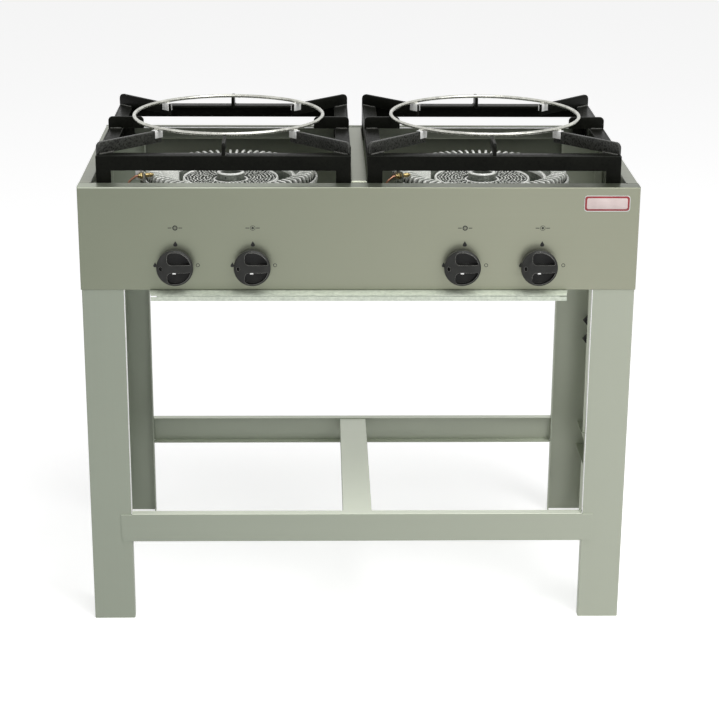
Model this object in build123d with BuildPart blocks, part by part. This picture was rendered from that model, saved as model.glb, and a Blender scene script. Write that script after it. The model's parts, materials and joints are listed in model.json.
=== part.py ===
"""Two-burner industrial gas stove on an open stand, in millimetres.

+X is the user's right, +Y is the back, +Z is up.  The origin lies on the floor
under the middle of the overall outline, knobs and gas inlet included.
"""

import os
from math import cos, radians, sin, sqrt

from build123d import *

os.makedirs("parts", exist_ok=True)

# Sheet and clearances
sheet = 1.5
seam_gap = 0.3
slide_gap = 0.3
rest_gap = 0.1
running_gap = 0.08

# How far a cut runs past the sheet it leaves, and the least step that counts
cut_past = 1.0
skin = 0.01

# Round pieces that stay out of sight are drawn with this many flat sides
hidden_sides = 12

# Body shell
body_width = 900.0
body_depth = 475.0
rim_top = 758.0
apron_height = 170.5
front_flange = 30.0
side_flange = 20.0
rear_flange = 10.0
down_turn = 20.0
ledge_width = 10.0
bottom_return = 12.0
corner_radius = 2.5
relief_notch = 3.0

# Strip between the two bays
strip_width = 25.0
strip_joggle = 2.0
strip_front_tongue = 14.0
strip_rear_tongue = 10.0

# Legs
leg_sheet = 2.0
leg_flange = 68.5
leg_lip = 15.0
leg_top_gap = 0.5

# Stand rails
rail_height = 50.0
rail_flange = 15.0
end_rail_bottom = 143.0
side_rail_bottom = 133.0
rail_tab = 18.0
rail_tab_corner = 6.0
centre_rail_width = 49.0
centre_rail_depth = 25.0
lip_notch_gap = 1.0

# Knobs, stems and valves
knob_spacing = 124.0
knob_pair_shift = {"left": -18.0, "right": 12.0}
knob_rise = 41.5
knob_height = rim_top - apron_height + knob_rise
knob_back_radius = 28.2
knob_rim_radius = 29.7
knob_rim_reach = 14.6
knob_cap_radius = 16.0
knob_depth = 21.0
grip_thickness = 13.0
pocket_radius = 25.5
pocket_start = -11.5
pocket_round = 7.0
pocket_depth = 12.0
push_gap = 3.4
push_travel = 3.0
stem_radius = 4.0
stem_hole_radius = 6.0
stem_in_knob = 14.0
drive_width = 5.6
blade_thickness = 3.6
blade_width = 6.8
blade_length = 9.0
blade_end_gap = 0.8
plug_radius = 7.0
plug_length = 31.0
valve_width = 20.0
valve_length = 24.0
valve_front = 13.0
neck_width = 18.0
outlet_nut_width = 15.0
outlet_nut_length = 9.0

# Gas rail and inlet
pipe_radius = 10.65
pipe_bore_radius = 8.0
pipe_drop = 25.5
pipe_height = knob_height - pipe_drop
pipe_set_back = 31.0
pipe_end_margin = 102.0
inlet_margin = 88.0
inlet_radius = 10.48
inlet_reach = 22.0
inlet_hole_gap = 0.6
inlet_nut_width = 27.0
inlet_nut_length = 6.0
nut_gap = 0.05
saddle_width = 16.0
bracket_thickness = 3.0
bracket_margin = 6.0
bracket_gap = 0.1

# Feed tubes, jets and air shutters
feed_radius = 4.0
feed_run = 8.0
jet_width = 14.0
jet_body = 16.0
jet_front_reach = 9.0
jet_neck_radius = 5.0
jet_neck_reach = 3.5
jet_rail_set_back = 88.0
jet_rail_thickness = 3.0
jet_rail_height = 26.0
jet_rail_drop = 10.5
jet_hole_gap = 0.1
shutter_radius = 21.0
shutter_thickness = 1.5
shutter_gap = 0.4
shutter_clearance = 0.06

# Burners
burner_inset = 5.25
burner_centre_set_back = 245.7
burner_base = 690.0
ring_outer_radius = 152.0
ring_wall_radius = 147.0
ring_inner_radius = 105.0
mixer_seat = 7.0
ring_shoulder_height = 26.0
ring_crown_height = 34.0
ring_crest_height = 40.0
rib_outer_radius = 143.0
rib_inner_radius = 119.0
rib_width = 4.6
rib_inset = 1.0
rib_count = 42
lug_radius = 88.0
lug_width = 34.0
lug_height = 22.0
lug_weld = 4.0
hub_radius = 82.0
hub_bore_radius = 28.0
hub_lip = 6.0
hub_wall_height = 22.0
hub_rim_height = 27.0
hub_rim_width = 9.0
hub_lip_height = 37.0
hub_land_radius = 52.0
tooth_radius = 64.0
tooth_count = 24
tooth_length = 7.0
tooth_width = 4.0
tooth_height = 3.5
mixer_offset = 62.5
mixer_radius = 22.0
mixer_wall = 3.5
mixer_mouth_set_back = 104.0
mouth_depth = 30.0
jet_air_gap = 1.0

# Cross bars that carry the burners
bar_spacing = 80.0
bar_width = 30.0
bar_height = 15.0
bar_sheet = 2.0

# Drip tray and its runners
tray_sheet = 1.0
tray_margin = 121.0
tray_flange = 10.0
tray_depth_inside = 17.0
tray_front_set_back = 16.0
tray_rear_set_back = 18.0
tray_lip_reach = 21.0
tray_lip_drop = 11.5
tray_hem = 6.0
tray_top_gap = 0.7
tray_bend_radius = 0.9
runner_flange = 9.0
runner_lower_flange = 8.0
runner_side_gap = 2.0

# Pan grates
grate_inner_gap = 0.8
grate_outer_gap = 8.0
grate_front_gap = 3.0
grate_rear_gap = 6.6
angle_leg = 24.0
angle_thickness = 3.2
grate_top = 801.0
finger_height = 20.0
finger_thickness = 6.0
mid_finger_length = 60.0
finger_overrun = 3.0
finger_ring_reach = 11.0
finger_outer_round = 9.0
finger_inner_round = 5.0

# Wok rings
wok_ring_radius = 163.0
wok_bar = 6.0
clip_sheet = 1.0
clip_width = 16.0
clip_side_gap = 0.5
clip_drop = 12.0

# Pilot burners
pilot_offset = (-127.0, -62.0)
pilot_height = 735.0
pilot_radius = 4.0
pilot_barrel = 18.0
pilot_neck_radius = 3.0
pilot_nut_width = 9.5
pilot_nut_length = 8.0
pilot_plate = 2.0
pilot_plate_width = 20.0
pilot_plate_rise = 8.0
pilot_plate_round = 3.0
pilot_foot_inner = 153.5
pilot_foot_outer = 168.0
pilot_foot_step = 12.0
pilot_foot_inset = 2.0
pilot_tube_radius = 2.0
pilot_tube_lead = 4.0
pilot_knee_run = 18.0
pilot_knee_drop = 9.0
pilot_tap_spot = -118.0
pilot_tube_top = 662.0

# Hose clips on the right rear leg
clip_heights = (353.0, 389.0)
hose_clip_height = 18.0
hose_clip_reach = 12.0
hose_clip_sheet = 1.6
hose_clip_spot = 9.0

# Places worked out from the sizes above
knob_reach = push_gap + knob_depth
front = -(body_depth + knob_reach + inlet_reach) / 2 + knob_reach
rear = front + body_depth
half_width = body_width / 2
tray_width = body_width - 2 * tray_margin
apron_bottom = rim_top - apron_height
ledge_top = rim_top - down_turn
bay_side = half_width - side_flange
bay_front = front + front_flange
bay_rear = rear - rear_flange
bay_width = bay_side - strip_width / 2
leg_outer = half_width - sheet
leg_inner = leg_outer - leg_flange
leg_front = front + sheet
leg_rear = rear - sheet
leg_top = ledge_top - sheet - leg_top_gap
burner_spot = (bay_side + strip_width / 2) / 2 - burner_inset
burner_y = front + burner_centre_set_back
pipe_left_end = -half_width + pipe_end_margin
inlet_spot = half_width - inlet_margin
pipe_y = front + pipe_set_back
saddle_top = knob_height - valve_width / 2
valve_y = front + valve_front
outlet_y = valve_y + valve_length + outlet_nut_length
jet_rail_y = front + jet_rail_set_back
mouth_y = front + mixer_mouth_set_back
mixer_height = knob_height
finger_top = grate_top + finger_height
grate_width = bay_width - grate_inner_gap - grate_outer_gap
grate_depth = bay_rear - bay_front - grate_front_gap - grate_rear_gap
grate_spot = strip_width / 2 + grate_inner_gap + grate_width / 2
grate_y = bay_front + grate_front_gap + grate_depth / 2
corner_finger_outer = grate_width / 2 * sqrt(2) + finger_overrun
corner_finger_inner = wok_ring_radius - finger_ring_reach
wok_ring_height = finger_top + rest_gap + clip_sheet + wok_bar / 2
tray_top = apron_bottom - tray_top_gap
tray_inner_front = front + tray_front_set_back
tray_inner_rear = rear - tray_rear_set_back
runner_face = tray_width / 2 + tray_flange + runner_side_gap

SIDES = {"left": -1, "right": 1}
ENDS = {"front": -1, "rear": 1}
RINGS = {"outer": -1, "inner": 1}

# Each bay has two knobs side by side: one for the outer ring, one for the inner
pair_spots = {side: way * burner_spot + knob_pair_shift[side] for side, way in SIDES.items()}
knob_spots = {
    f"{side}_{ring}": pair_spots[side] + along * knob_spacing / 2
    for side in SIDES
    for ring, along in RINGS.items()
}
jet_spots = {
    f"{side}_{ring}": way * burner_spot + along * mixer_offset
    for side, way in SIDES.items()
    for ring, along in RINGS.items()
}


def facing(y):
    """Upright plane across the stove at depth y, seen from the front."""
    return Plane.XZ.offset(-y)


def finish(builder, name):
    """Label a sub-part and write its file."""
    builder.part.label = name
    export_step(builder.part, f"parts/{name}.step")


def folded_face(points, side, thickness=sheet):
    """Section of a sheet folded along the line of its inner face."""
    with BuildLine() as outline:
        Polyline(*points)
        offset(amount=thickness, side=side)
    make_face(outline.line.edges())


def block(x, y, z, mode=Mode.ADD):
    """Box between the two limits given for each axis."""
    centre = ((x[0] + x[1]) / 2, (y[0] + y[1]) / 2, (z[0] + z[1]) / 2)
    with Locations(centre):
        Box(abs(x[1] - x[0]), abs(y[1] - y[0]), abs(z[1] - z[0]), mode=mode)


# Front panel: apron, flat front rim, down-turn and the ledge for the grates
with BuildPart() as front_panel:
    with BuildSketch(Plane.YZ):
        folded_face(
            [
                (front + bottom_return, apron_bottom + sheet),
                (front + sheet, apron_bottom + sheet),
                (front + sheet, rim_top - sheet),
                (bay_front - sheet, rim_top - sheet),
                (bay_front - sheet, ledge_top - sheet),
                (bay_front + ledge_width, ledge_top - sheet),
            ],
            Side.LEFT,
        )
    extrude(amount=half_width, both=True)
    for way in (-1, 1):
        edge = way * half_width
        block(
            (way * (bay_side - seam_gap), edge + way),
            (bay_front - sheet - seam_gap, bay_front + ledge_width + cut_past),
            (ledge_top - 2 * sheet, rim_top - sheet),
            Mode.SUBTRACT,
        )
        block(
            (way * (leg_inner - seam_gap), edge + way),
            (front + sheet, front + bottom_return + cut_past),
            (apron_bottom - cut_past, apron_bottom + sheet),
            Mode.SUBTRACT,
        )
        block((edge, edge - way * sheet), (front, bay_front), (apron_bottom, rim_top))
        block(
            (way * bay_side, way * (bay_side + relief_notch)),
            (bay_front - relief_notch, bay_front),
            (rim_top - 2 * sheet, rim_top + cut_past),
            Mode.SUBTRACT,
        )
    panel_depth = front_flange + ledge_width
    with BuildSketch(Plane.XY.offset(apron_bottom)):
        with Locations((0, front + panel_depth / 2)):
            Rectangle(body_width, panel_depth)
        fillet(vertices().group_by(Axis.Y)[0], corner_radius)
    extrude(amount=apron_height, mode=Mode.INTERSECT)
    with BuildSketch(facing(front)):
        with Locations(*[(x, knob_height) for x in knob_spots.values()]):
            Circle(stem_hole_radius)
    extrude(amount=-sheet, mode=Mode.SUBTRACT)
finish(front_panel, "front_panel")

# Rear panel: the same fold with a narrower rim, and the hole for the gas inlet
with BuildPart() as rear_panel:
    with BuildSketch(Plane.YZ):
        folded_face(
            [
                (rear - bottom_return, apron_bottom + sheet),
                (rear - sheet, apron_bottom + sheet),
                (rear - sheet, rim_top - sheet),
                (bay_rear + sheet, rim_top - sheet),
                (bay_rear + sheet, ledge_top - sheet),
                (bay_rear - ledge_width, ledge_top - sheet),
            ],
            Side.RIGHT,
        )
    extrude(amount=half_width, both=True)
    for way in (-1, 1):
        edge = way * half_width
        block(
            (way * (bay_side - seam_gap), edge + way),
            (bay_rear + sheet + seam_gap, bay_rear - ledge_width - cut_past),
            (ledge_top - 2 * sheet, rim_top - sheet),
            Mode.SUBTRACT,
        )
        block(
            (way * (leg_inner - seam_gap), edge + way),
            (rear - sheet, rear - bottom_return - cut_past),
            (apron_bottom - cut_past, apron_bottom + sheet),
            Mode.SUBTRACT,
        )
        block((edge, edge - way * sheet), (bay_rear, rear), (apron_bottom, rim_top))
    with BuildSketch(facing(rear)):
        with Locations((inlet_spot, pipe_height)):
            Circle(pipe_radius + inlet_hole_gap)
    extrude(amount=sheet, mode=Mode.SUBTRACT)
finish(rear_panel, "rear_panel")

# Side panels: they butt against the end returns of the front and rear panels
for side_name, way in SIDES.items():
    with BuildPart() as side_panel:
        with BuildSketch(facing(bay_front + seam_gap)):
            folded_face(
                [
                    (way * (half_width - bottom_return), apron_bottom + sheet),
                    (way * (half_width - sheet), apron_bottom + sheet),
                    (way * (half_width - sheet), rim_top - sheet),
                    (way * (bay_side + sheet), rim_top - sheet),
                    (way * (bay_side + sheet), ledge_top),
                ],
                Side.RIGHT if way > 0 else Side.LEFT,
            )
        extrude(amount=-(bay_rear - bay_front - 2 * seam_gap))
        for end, leg_edge in (
            (bay_front, leg_front + leg_flange + seam_gap),
            (bay_rear, leg_rear - leg_flange - seam_gap),
        ):
            block(
                (way * (half_width - sheet), way * (half_width - bottom_return - cut_past)),
                (end, leg_edge),
                (apron_bottom - cut_past, apron_bottom + sheet),
                Mode.SUBTRACT,
            )
    finish(side_panel, f"{side_name}_side_panel")

# Strip between the bays: an inverted channel whose ends step down a little
strip_line = [
    (bay_front, rim_top - strip_joggle),
    (bay_front + strip_front_tongue - strip_joggle, rim_top - strip_joggle),
    (bay_front + strip_front_tongue, rim_top),
    (bay_rear - strip_rear_tongue, rim_top),
    (bay_rear - strip_rear_tongue + strip_joggle, rim_top - strip_joggle),
    (bay_rear, rim_top - strip_joggle),
]
with BuildPart() as centre_strip:
    with BuildSketch(Plane.YZ):
        with BuildLine():
            Polyline(
                *strip_line,
                (bay_rear, ledge_top + rest_gap),
                (bay_front, ledge_top + rest_gap),
                close=True,
            )
        make_face()
    extrude(amount=strip_width / 2, both=True)
    top_edges = centre_strip.edges().filter_by(Axis.Y).group_by(Axis.Z)[-1]
    fillet(top_edges, sheet)
    with BuildSketch(Plane.YZ):
        with BuildLine():
            Polyline(
                *[(y, z - sheet) for y, z in strip_line],
                (bay_rear, ledge_top - sheet),
                (bay_front, ledge_top - sheet),
                close=True,
            )
        make_face()
    extrude(amount=strip_width / 2 - sheet, both=True, mode=Mode.SUBTRACT)
finish(centre_strip, "centre_strip")

# Legs: folded angles with a return lip along both free edges
notch_span = (side_rail_bottom - lip_notch_gap, side_rail_bottom + rail_height + lip_notch_gap)
for depth_name, deep in ENDS.items():
    for side_name, way in SIDES.items():
        outer_x = way * leg_outer
        outer_y = leg_front if deep < 0 else leg_rear
        inner_x = outer_x - way * leg_sheet
        inner_y = outer_y - deep * leg_sheet
        with BuildPart() as leg:
            with BuildSketch():
                folded_face(
                    [
                        (outer_x - way * (leg_flange - leg_sheet), outer_y - deep * leg_lip),
                        (outer_x - way * (leg_flange - leg_sheet), inner_y),
                        (inner_x, inner_y),
                        (inner_x, outer_y - deep * (leg_flange - leg_sheet)),
                        (outer_x - way * leg_lip, outer_y - deep * (leg_flange - leg_sheet)),
                    ],
                    Side.RIGHT if way * deep < 0 else Side.LEFT,
                    leg_sheet,
                )
            extrude(amount=leg_top)
            lip_y = outer_y - deep * leg_flange
            block(
                (inner_x, outer_x - way * (leg_lip + cut_past)),
                (lip_y - deep, lip_y + deep * (leg_sheet + skin)),
                notch_span,
                Mode.SUBTRACT,
            )
        finish(leg, f"leg_{depth_name}_{side_name}")

# Front and rear rails: channels whose webs lap over the outside of the legs
for depth_name, deep in ENDS.items():
    web_y = front if deep < 0 else rear
    tab_end = leg_inner + rail_tab
    with BuildPart() as end_rail:
        with BuildSketch(Plane.YZ):
            folded_face(
                [
                    (web_y - deep * rail_flange, end_rail_bottom + sheet),
                    (web_y - deep * sheet, end_rail_bottom + sheet),
                    (web_y - deep * sheet, end_rail_bottom + rail_height - sheet),
                    (web_y - deep * rail_flange, end_rail_bottom + rail_height - sheet),
                ],
                Side.LEFT if deep < 0 else Side.RIGHT,
            )
        extrude(amount=leg_inner - seam_gap, both=True)
        with BuildSketch(facing(web_y)):
            with Locations((0, end_rail_bottom + rail_height / 2)):
                Rectangle(2 * tab_end, rail_height - 2 * sheet)
            fillet(vertices().group_by(Axis.Y)[0], rail_tab_corner)
        extrude(amount=deep * sheet)
    finish(end_rail, f"{depth_name}_rail")

# Side rails: channels inside the legs, through the notches in their lips
for side_name, way in SIDES.items():
    web_x = way * (leg_outer - leg_sheet)
    with BuildPart() as side_rail:
        with BuildSketch(facing(leg_front + leg_sheet)):
            folded_face(
                [
                    (web_x - way * rail_flange, side_rail_bottom + sheet),
                    (web_x - way * sheet, side_rail_bottom + sheet),
                    (web_x - way * sheet, side_rail_bottom + rail_height - sheet),
                    (web_x - way * rail_flange, side_rail_bottom + rail_height - sheet),
                ],
                Side.RIGHT if way > 0 else Side.LEFT,
            )
        extrude(amount=-(leg_rear - leg_front - 2 * leg_sheet))
    finish(side_rail, f"{side_name}_side_rail")

# Centre rail: an inverted channel tucked under the flanges of the end rails
centre_rail_top = end_rail_bottom + rail_height - sheet
with BuildPart() as centre_rail:
    with BuildSketch(facing(front + sheet)):
        folded_face(
            [
                (-centre_rail_width / 2 + sheet, centre_rail_top - centre_rail_depth),
                (-centre_rail_width / 2 + sheet, centre_rail_top - sheet),
                (centre_rail_width / 2 - sheet, centre_rail_top - sheet),
                (centre_rail_width / 2 - sheet, centre_rail_top - centre_rail_depth),
            ],
            Side.LEFT,
        )
    extrude(amount=-(body_depth - 2 * sheet))
finish(centre_rail, "centre_rail")

# Burner bars: inverted channels from side panel to side panel
for depth_name, deep in ENDS.items():
    bar_y = burner_y + deep * bar_spacing / 2
    with BuildPart() as burner_bar:
        with BuildSketch(Plane.YZ):
            folded_face(
                [
                    (bar_y - bar_width / 2 + bar_sheet, burner_base - bar_height),
                    (bar_y - bar_width / 2 + bar_sheet, burner_base - bar_sheet),
                    (bar_y + bar_width / 2 - bar_sheet, burner_base - bar_sheet),
                    (bar_y + bar_width / 2 - bar_sheet, burner_base - bar_height),
                ],
                Side.LEFT,
                bar_sheet,
            )
        extrude(amount=half_width - sheet, both=True)
    finish(burner_bar, f"burner_bar_{depth_name}")

# Jet rail: flat bar across the body with a hexagon hole for each jet
with BuildPart() as injector_rail:
    block(
        (-half_width + sheet, half_width - sheet),
        (jet_rail_y, jet_rail_y + jet_rail_thickness),
        (mixer_height - jet_rail_drop, mixer_height - jet_rail_drop + jet_rail_height),
    )
    with BuildSketch(facing(jet_rail_y)):
        with Locations(*[(x, mixer_height) for x in jet_spots.values()]):
            RegularPolygon(jet_width / 2 + jet_hole_gap, 6, major_radius=False)
    extrude(amount=-jet_rail_thickness, mode=Mode.SUBTRACT)
finish(injector_rail, "injector_rail")

# Drip tray: a shallow pan that hangs by its side flanges, with a folded front lip
pan_bottom = tray_top - tray_depth_inside - tray_sheet
lip_front = front - tray_lip_reach
with BuildPart() as drip_tray:
    block(
        (-tray_width / 2, tray_width / 2),
        (tray_inner_front, tray_inner_rear),
        (pan_bottom, tray_top),
    )
    block(
        (-tray_width / 2 - tray_flange, tray_width / 2 + tray_flange),
        (lip_front, tray_inner_rear),
        (tray_top - tray_sheet, tray_top),
    )
    block(
        (-tray_width / 2 + tray_sheet, tray_width / 2 - tray_sheet),
        (tray_inner_front + tray_sheet, tray_inner_rear - tray_sheet),
        (pan_bottom + tray_sheet, tray_top + cut_past),
        Mode.SUBTRACT,
    )
    block(
        (-tray_width / 2 - tray_flange, tray_width / 2 + tray_flange),
        (lip_front, lip_front + tray_sheet),
        (tray_top - tray_lip_drop, tray_top),
    )
    block(
        (-tray_width / 2 - tray_flange, tray_width / 2 + tray_flange),
        (lip_front, lip_front + tray_hem),
        (tray_top - tray_lip_drop, tray_top - tray_lip_drop + tray_sheet),
    )
    lip_edge = drip_tray.edges().filter_by(Axis.X).filter_by(
        lambda e: abs(e.center().Y - lip_front) < skin and abs(e.center().Z - tray_top) < skin
    )
    fillet(lip_edge, tray_bend_radius)
finish(drip_tray, "drip_tray")

# Runners: they hang from the bottom returns and carry the tray's side flanges
runner_top = apron_bottom + 2 * sheet
runner_shelf = tray_top - tray_sheet - slide_gap
for side_name, way in SIDES.items():
    with BuildPart() as tray_runner:
        block(
            (way * runner_face, way * (runner_face + runner_flange)),
            (front + sheet, rear - sheet),
            (runner_top - sheet, runner_top),
        )
        block(
            (way * runner_face, way * (runner_face + sheet)),
            (front + bottom_return + seam_gap, rear - bottom_return - seam_gap),
            (runner_shelf - sheet, runner_top),
        )
        block(
            (way * (runner_face - runner_lower_flange), way * (runner_face + sheet)),
            (front + bottom_return + seam_gap, rear - bottom_return - seam_gap),
            (runner_shelf - sheet, runner_shelf),
        )
    finish(tray_runner, f"tray_runner_{side_name}")

# Gas manifold: pipe across the front, mitred at the right and led out at the back
inlet_end = rear + inlet_reach
inlet_thread = inlet_reach - inlet_nut_length
with BuildPart() as gas_manifold:
    with BuildSketch(Plane.YZ.offset(pipe_left_end)):
        with Locations((pipe_y, pipe_height)):
            Circle(pipe_radius)
    with BuildLine() as pipe_route:
        Polyline(
            (pipe_left_end, pipe_y, pipe_height),
            (inlet_spot, pipe_y, pipe_height),
            (inlet_spot, inlet_end - inlet_thread, pipe_height),
        )
    sweep(path=pipe_route.line, transition=Transition.RIGHT)
    with BuildSketch(facing(inlet_end - inlet_thread)):
        with Locations((inlet_spot, pipe_height)):
            Circle(inlet_radius)
    extrude(amount=-inlet_thread)
    for x in knob_spots.values():
        block(
            (x - saddle_width / 2, x + saddle_width / 2),
            (pipe_y - saddle_width / 2, pipe_y + saddle_width / 2),
            (pipe_height, saddle_top),
        )
    with BuildSketch(facing(inlet_end)):
        with Locations((inlet_spot, pipe_height)):
            Circle(pipe_bore_radius)
    extrude(amount=inlet_end - pipe_y, mode=Mode.SUBTRACT)
finish(gas_manifold, "gas_manifold")

# Lock nuts that clamp the inlet thread in the rear panel
with BuildPart() as inlet_nuts:
    for nut_y in (rear, rear - sheet - inlet_nut_length):
        with BuildSketch(facing(nut_y)):
            with Locations((inlet_spot, pipe_height)):
                RegularPolygon(inlet_nut_width / 2, 6, major_radius=False)
                RegularPolygon(
                    pipe_radius + nut_gap, hidden_sides, major_radius=False, mode=Mode.SUBTRACT
                )
        extrude(amount=-inlet_nut_length)
finish(inlet_nuts, "inlet_nuts")

# Manifold brackets: cradle plates on the apron that carry the pipe
with BuildPart() as manifold_brackets:
    for pair_spot in pair_spots.values():
        with BuildSketch(Plane.YZ.offset(pair_spot - bracket_thickness / 2)):
            with BuildLine():
                Polyline(
                    (front + sheet, apron_bottom + sheet),
                    (pipe_y + pipe_radius + bracket_margin, apron_bottom + sheet),
                    (pipe_y + pipe_radius + bracket_margin, pipe_height),
                    (pipe_y, pipe_height),
                    (pipe_y, pipe_height + pipe_radius + bracket_margin),
                    (front + sheet, pipe_height + pipe_radius + bracket_margin),
                    close=True,
                )
            make_face()
            with Locations((pipe_y, pipe_height)):
                RegularPolygon(
                    pipe_radius + bracket_gap, hidden_sides, major_radius=False, mode=Mode.SUBTRACT
                )
        extrude(amount=bracket_thickness)
finish(manifold_brackets, "manifold_brackets")

# Valves: body with a plug bore, plug, and the stem that pushes and turns
neck_y = front + sheet
drive_half = drive_width / 2 + running_gap
slot_half = blade_thickness / 2 + running_gap
for name, x in knob_spots.items():
    with BuildPart() as valve_body:
        with BuildSketch(facing(valve_y)):
            with Locations((x, knob_height)):
                Rectangle(valve_width, valve_width)
        extrude(amount=-valve_length)
        chamfer(valve_body.edges().filter_by(Axis.Y), valve_width / 4)
        with BuildSketch(facing(neck_y)):
            with Locations((x, knob_height)):
                RegularPolygon(neck_width / 2, 6, major_radius=False)
        extrude(amount=-(valve_y - neck_y))
        with BuildSketch(facing(valve_y + valve_length)):
            with Locations((x, knob_height)):
                RegularPolygon(outlet_nut_width / 2, 6, major_radius=False)
        extrude(amount=-outlet_nut_length)
        with BuildSketch(facing(neck_y)):
            with Locations((x, knob_height)):
                Circle(plug_radius + running_gap)
        extrude(amount=-(plug_length + 2 * running_gap), mode=Mode.SUBTRACT)
    finish(valve_body, f"valve_body_{name}")

    plug_y = neck_y + running_gap
    with BuildPart() as valve_plug:
        with BuildSketch(facing(plug_y)):
            with Locations((x, knob_height)):
                Circle(plug_radius)
        extrude(amount=-plug_length)
        block(
            (x - stem_radius - running_gap, x + stem_radius + running_gap),
            (plug_y, plug_y + blade_length + push_travel + blade_end_gap),
            (knob_height - slot_half, knob_height + slot_half),
            Mode.SUBTRACT,
        )
    finish(valve_plug, f"valve_plug_{name}")

    knob_back = front - push_gap
    stem_start = knob_back - stem_in_knob
    stem_shoulder = plug_y - push_travel - blade_end_gap
    with BuildPart() as valve_stem:
        with BuildSketch(facing(knob_back)):
            with Locations((x, knob_height)):
                RegularPolygon(stem_radius, hidden_sides)
        extrude(amount=-(stem_shoulder - knob_back))
        block(
            (x - drive_width / 2, x + drive_width / 2),
            (knob_back, stem_start),
            (knob_height - drive_width / 2, knob_height + drive_width / 2),
        )
        block(
            (x - blade_width / 2, x + blade_width / 2),
            (stem_shoulder, plug_y + blade_length),
            (knob_height - blade_thickness / 2, knob_height + blade_thickness / 2),
        )
    finish(valve_stem, f"valve_stem_{name}")

    # Knob: turned body with a crowned face and a scooped pocket on each side of the grip bar
    knob_face = knob_back - knob_depth
    with BuildPart() as knob:
        with BuildSketch(Plane((x, 0, knob_height))):
            with BuildLine():
                Polyline(
                    (0, knob_back),
                    (knob_back_radius, knob_back),
                    (knob_rim_radius, knob_back - knob_rim_reach),
                    (knob_cap_radius, knob_face),
                    (0, knob_face),
                    close=True,
                )
            make_face()
        revolve(axis=Axis((x, 0, knob_height), (0, 1, 0)))
        with BuildSketch(facing(knob_face)):
            with Locations((x, knob_height)):
                Circle(pocket_radius)
                with Locations((pocket_start - knob_rim_radius, 0)):
                    Rectangle(2 * knob_rim_radius, 2 * knob_rim_radius, mode=Mode.SUBTRACT)
                Rectangle(2 * knob_rim_radius, grip_thickness, mode=Mode.SUBTRACT)
            fillet(vertices().group_by(Axis.X)[0], pocket_round)
        extrude(amount=-pocket_depth, mode=Mode.SUBTRACT)
        block(
            (x - drive_half, x + drive_half),
            (knob_back, knob_back - stem_in_knob - running_gap),
            (knob_height - drive_half, knob_height + drive_half),
            Mode.SUBTRACT,
        )
    finish(knob, f"knob_{name}")

# Feed tubes: from each valve outlet, with a set-over, to its jet
jet_body_y = jet_rail_y - jet_front_reach
with BuildPart() as feed_tubes:
    for name, x in knob_spots.items():
        jet_x = jet_spots[name]
        with BuildLine() as feed_route:
            Polyline(
                (x, outlet_y, knob_height),
                (x, outlet_y + feed_run, knob_height),
                (jet_x, jet_body_y - feed_run, mixer_height),
                (jet_x, jet_body_y, mixer_height),
            )
        with BuildSketch(facing(outlet_y)):
            with Locations((x, knob_height)):
                RegularPolygon(feed_radius, 8)
        sweep(path=feed_route.line, transition=Transition.RIGHT)
finish(feed_tubes, "feed_tubes")

# Jets: hexagon body through the rail, then a round neck
with BuildPart() as injectors:
    for x in jet_spots.values():
        with BuildSketch(facing(jet_body_y)):
            with Locations((x, mixer_height)):
                RegularPolygon(jet_width / 2, 6, major_radius=False)
        extrude(amount=-jet_body)
        with BuildSketch(facing(jet_body_y + jet_body)):
            with Locations((x, mixer_height)):
                RegularPolygon(jet_neck_radius, hidden_sides)
        extrude(amount=-(mouth_y + jet_neck_reach - jet_body_y - jet_body))
finish(injectors, "injectors")

# Air shutters: half discs that turn on the jet necks in front of the mixer mouths
shutter_back = mouth_y - shutter_gap
for name, x in jet_spots.items():
    with BuildPart() as air_shutter:
        with BuildSketch(facing(shutter_back)):
            with Locations((x, mixer_height)):
                Circle(shutter_radius)
                with Locations((0, shutter_radius + jet_neck_radius + sheet)):
                    Rectangle(2 * shutter_radius, 2 * shutter_radius, mode=Mode.SUBTRACT)
                Circle(jet_neck_radius + shutter_clearance, mode=Mode.SUBTRACT)
        extrude(amount=shutter_thickness)
    finish(air_shutter, f"air_shutter_{name}")


def mixer(x, y, mouth, up_to):
    """Cast mixing tube: from its mouth to the back, then up into the burner at (x, y)."""
    with BuildSketch(facing(mouth)) as section:
        with Locations((x, mixer_height)):
            RegularPolygon(mixer_radius, hidden_sides)
    with BuildLine() as route:
        Polyline((x, mouth, mixer_height), (x, y, mixer_height), (x, y, up_to))
    sweep(section.sketch, path=route.line, transition=Transition.RIGHT)


def mixer_mouth(x, mouth):
    """Half-round window at the mouth, and the clearance round the jet neck."""
    with BuildSketch(facing(mouth)) as window:
        with Locations((x, mixer_height)):
            Circle(mixer_radius - mixer_wall)
            with Locations((0, -mixer_radius)):
                Rectangle(2 * mixer_radius, 2 * mixer_radius, mode=Mode.SUBTRACT)
            Circle(jet_neck_radius + jet_air_gap)
    extrude(window.sketch, amount=-mouth_depth, mode=Mode.SUBTRACT)


def turned(x, y, points):
    """Ring turned about the upright axis of a burner from its section (radius, height)."""
    with BuildSketch(Plane((x, y, burner_base), x_dir=(1, 0, 0), z_dir=(0, -1, 0))) as profile:
        with BuildLine():
            Polyline(*points, close=True)
        make_face()
    revolve(profile.sketch, axis=Axis((x, y, 0), (0, 0, 1)))


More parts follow.
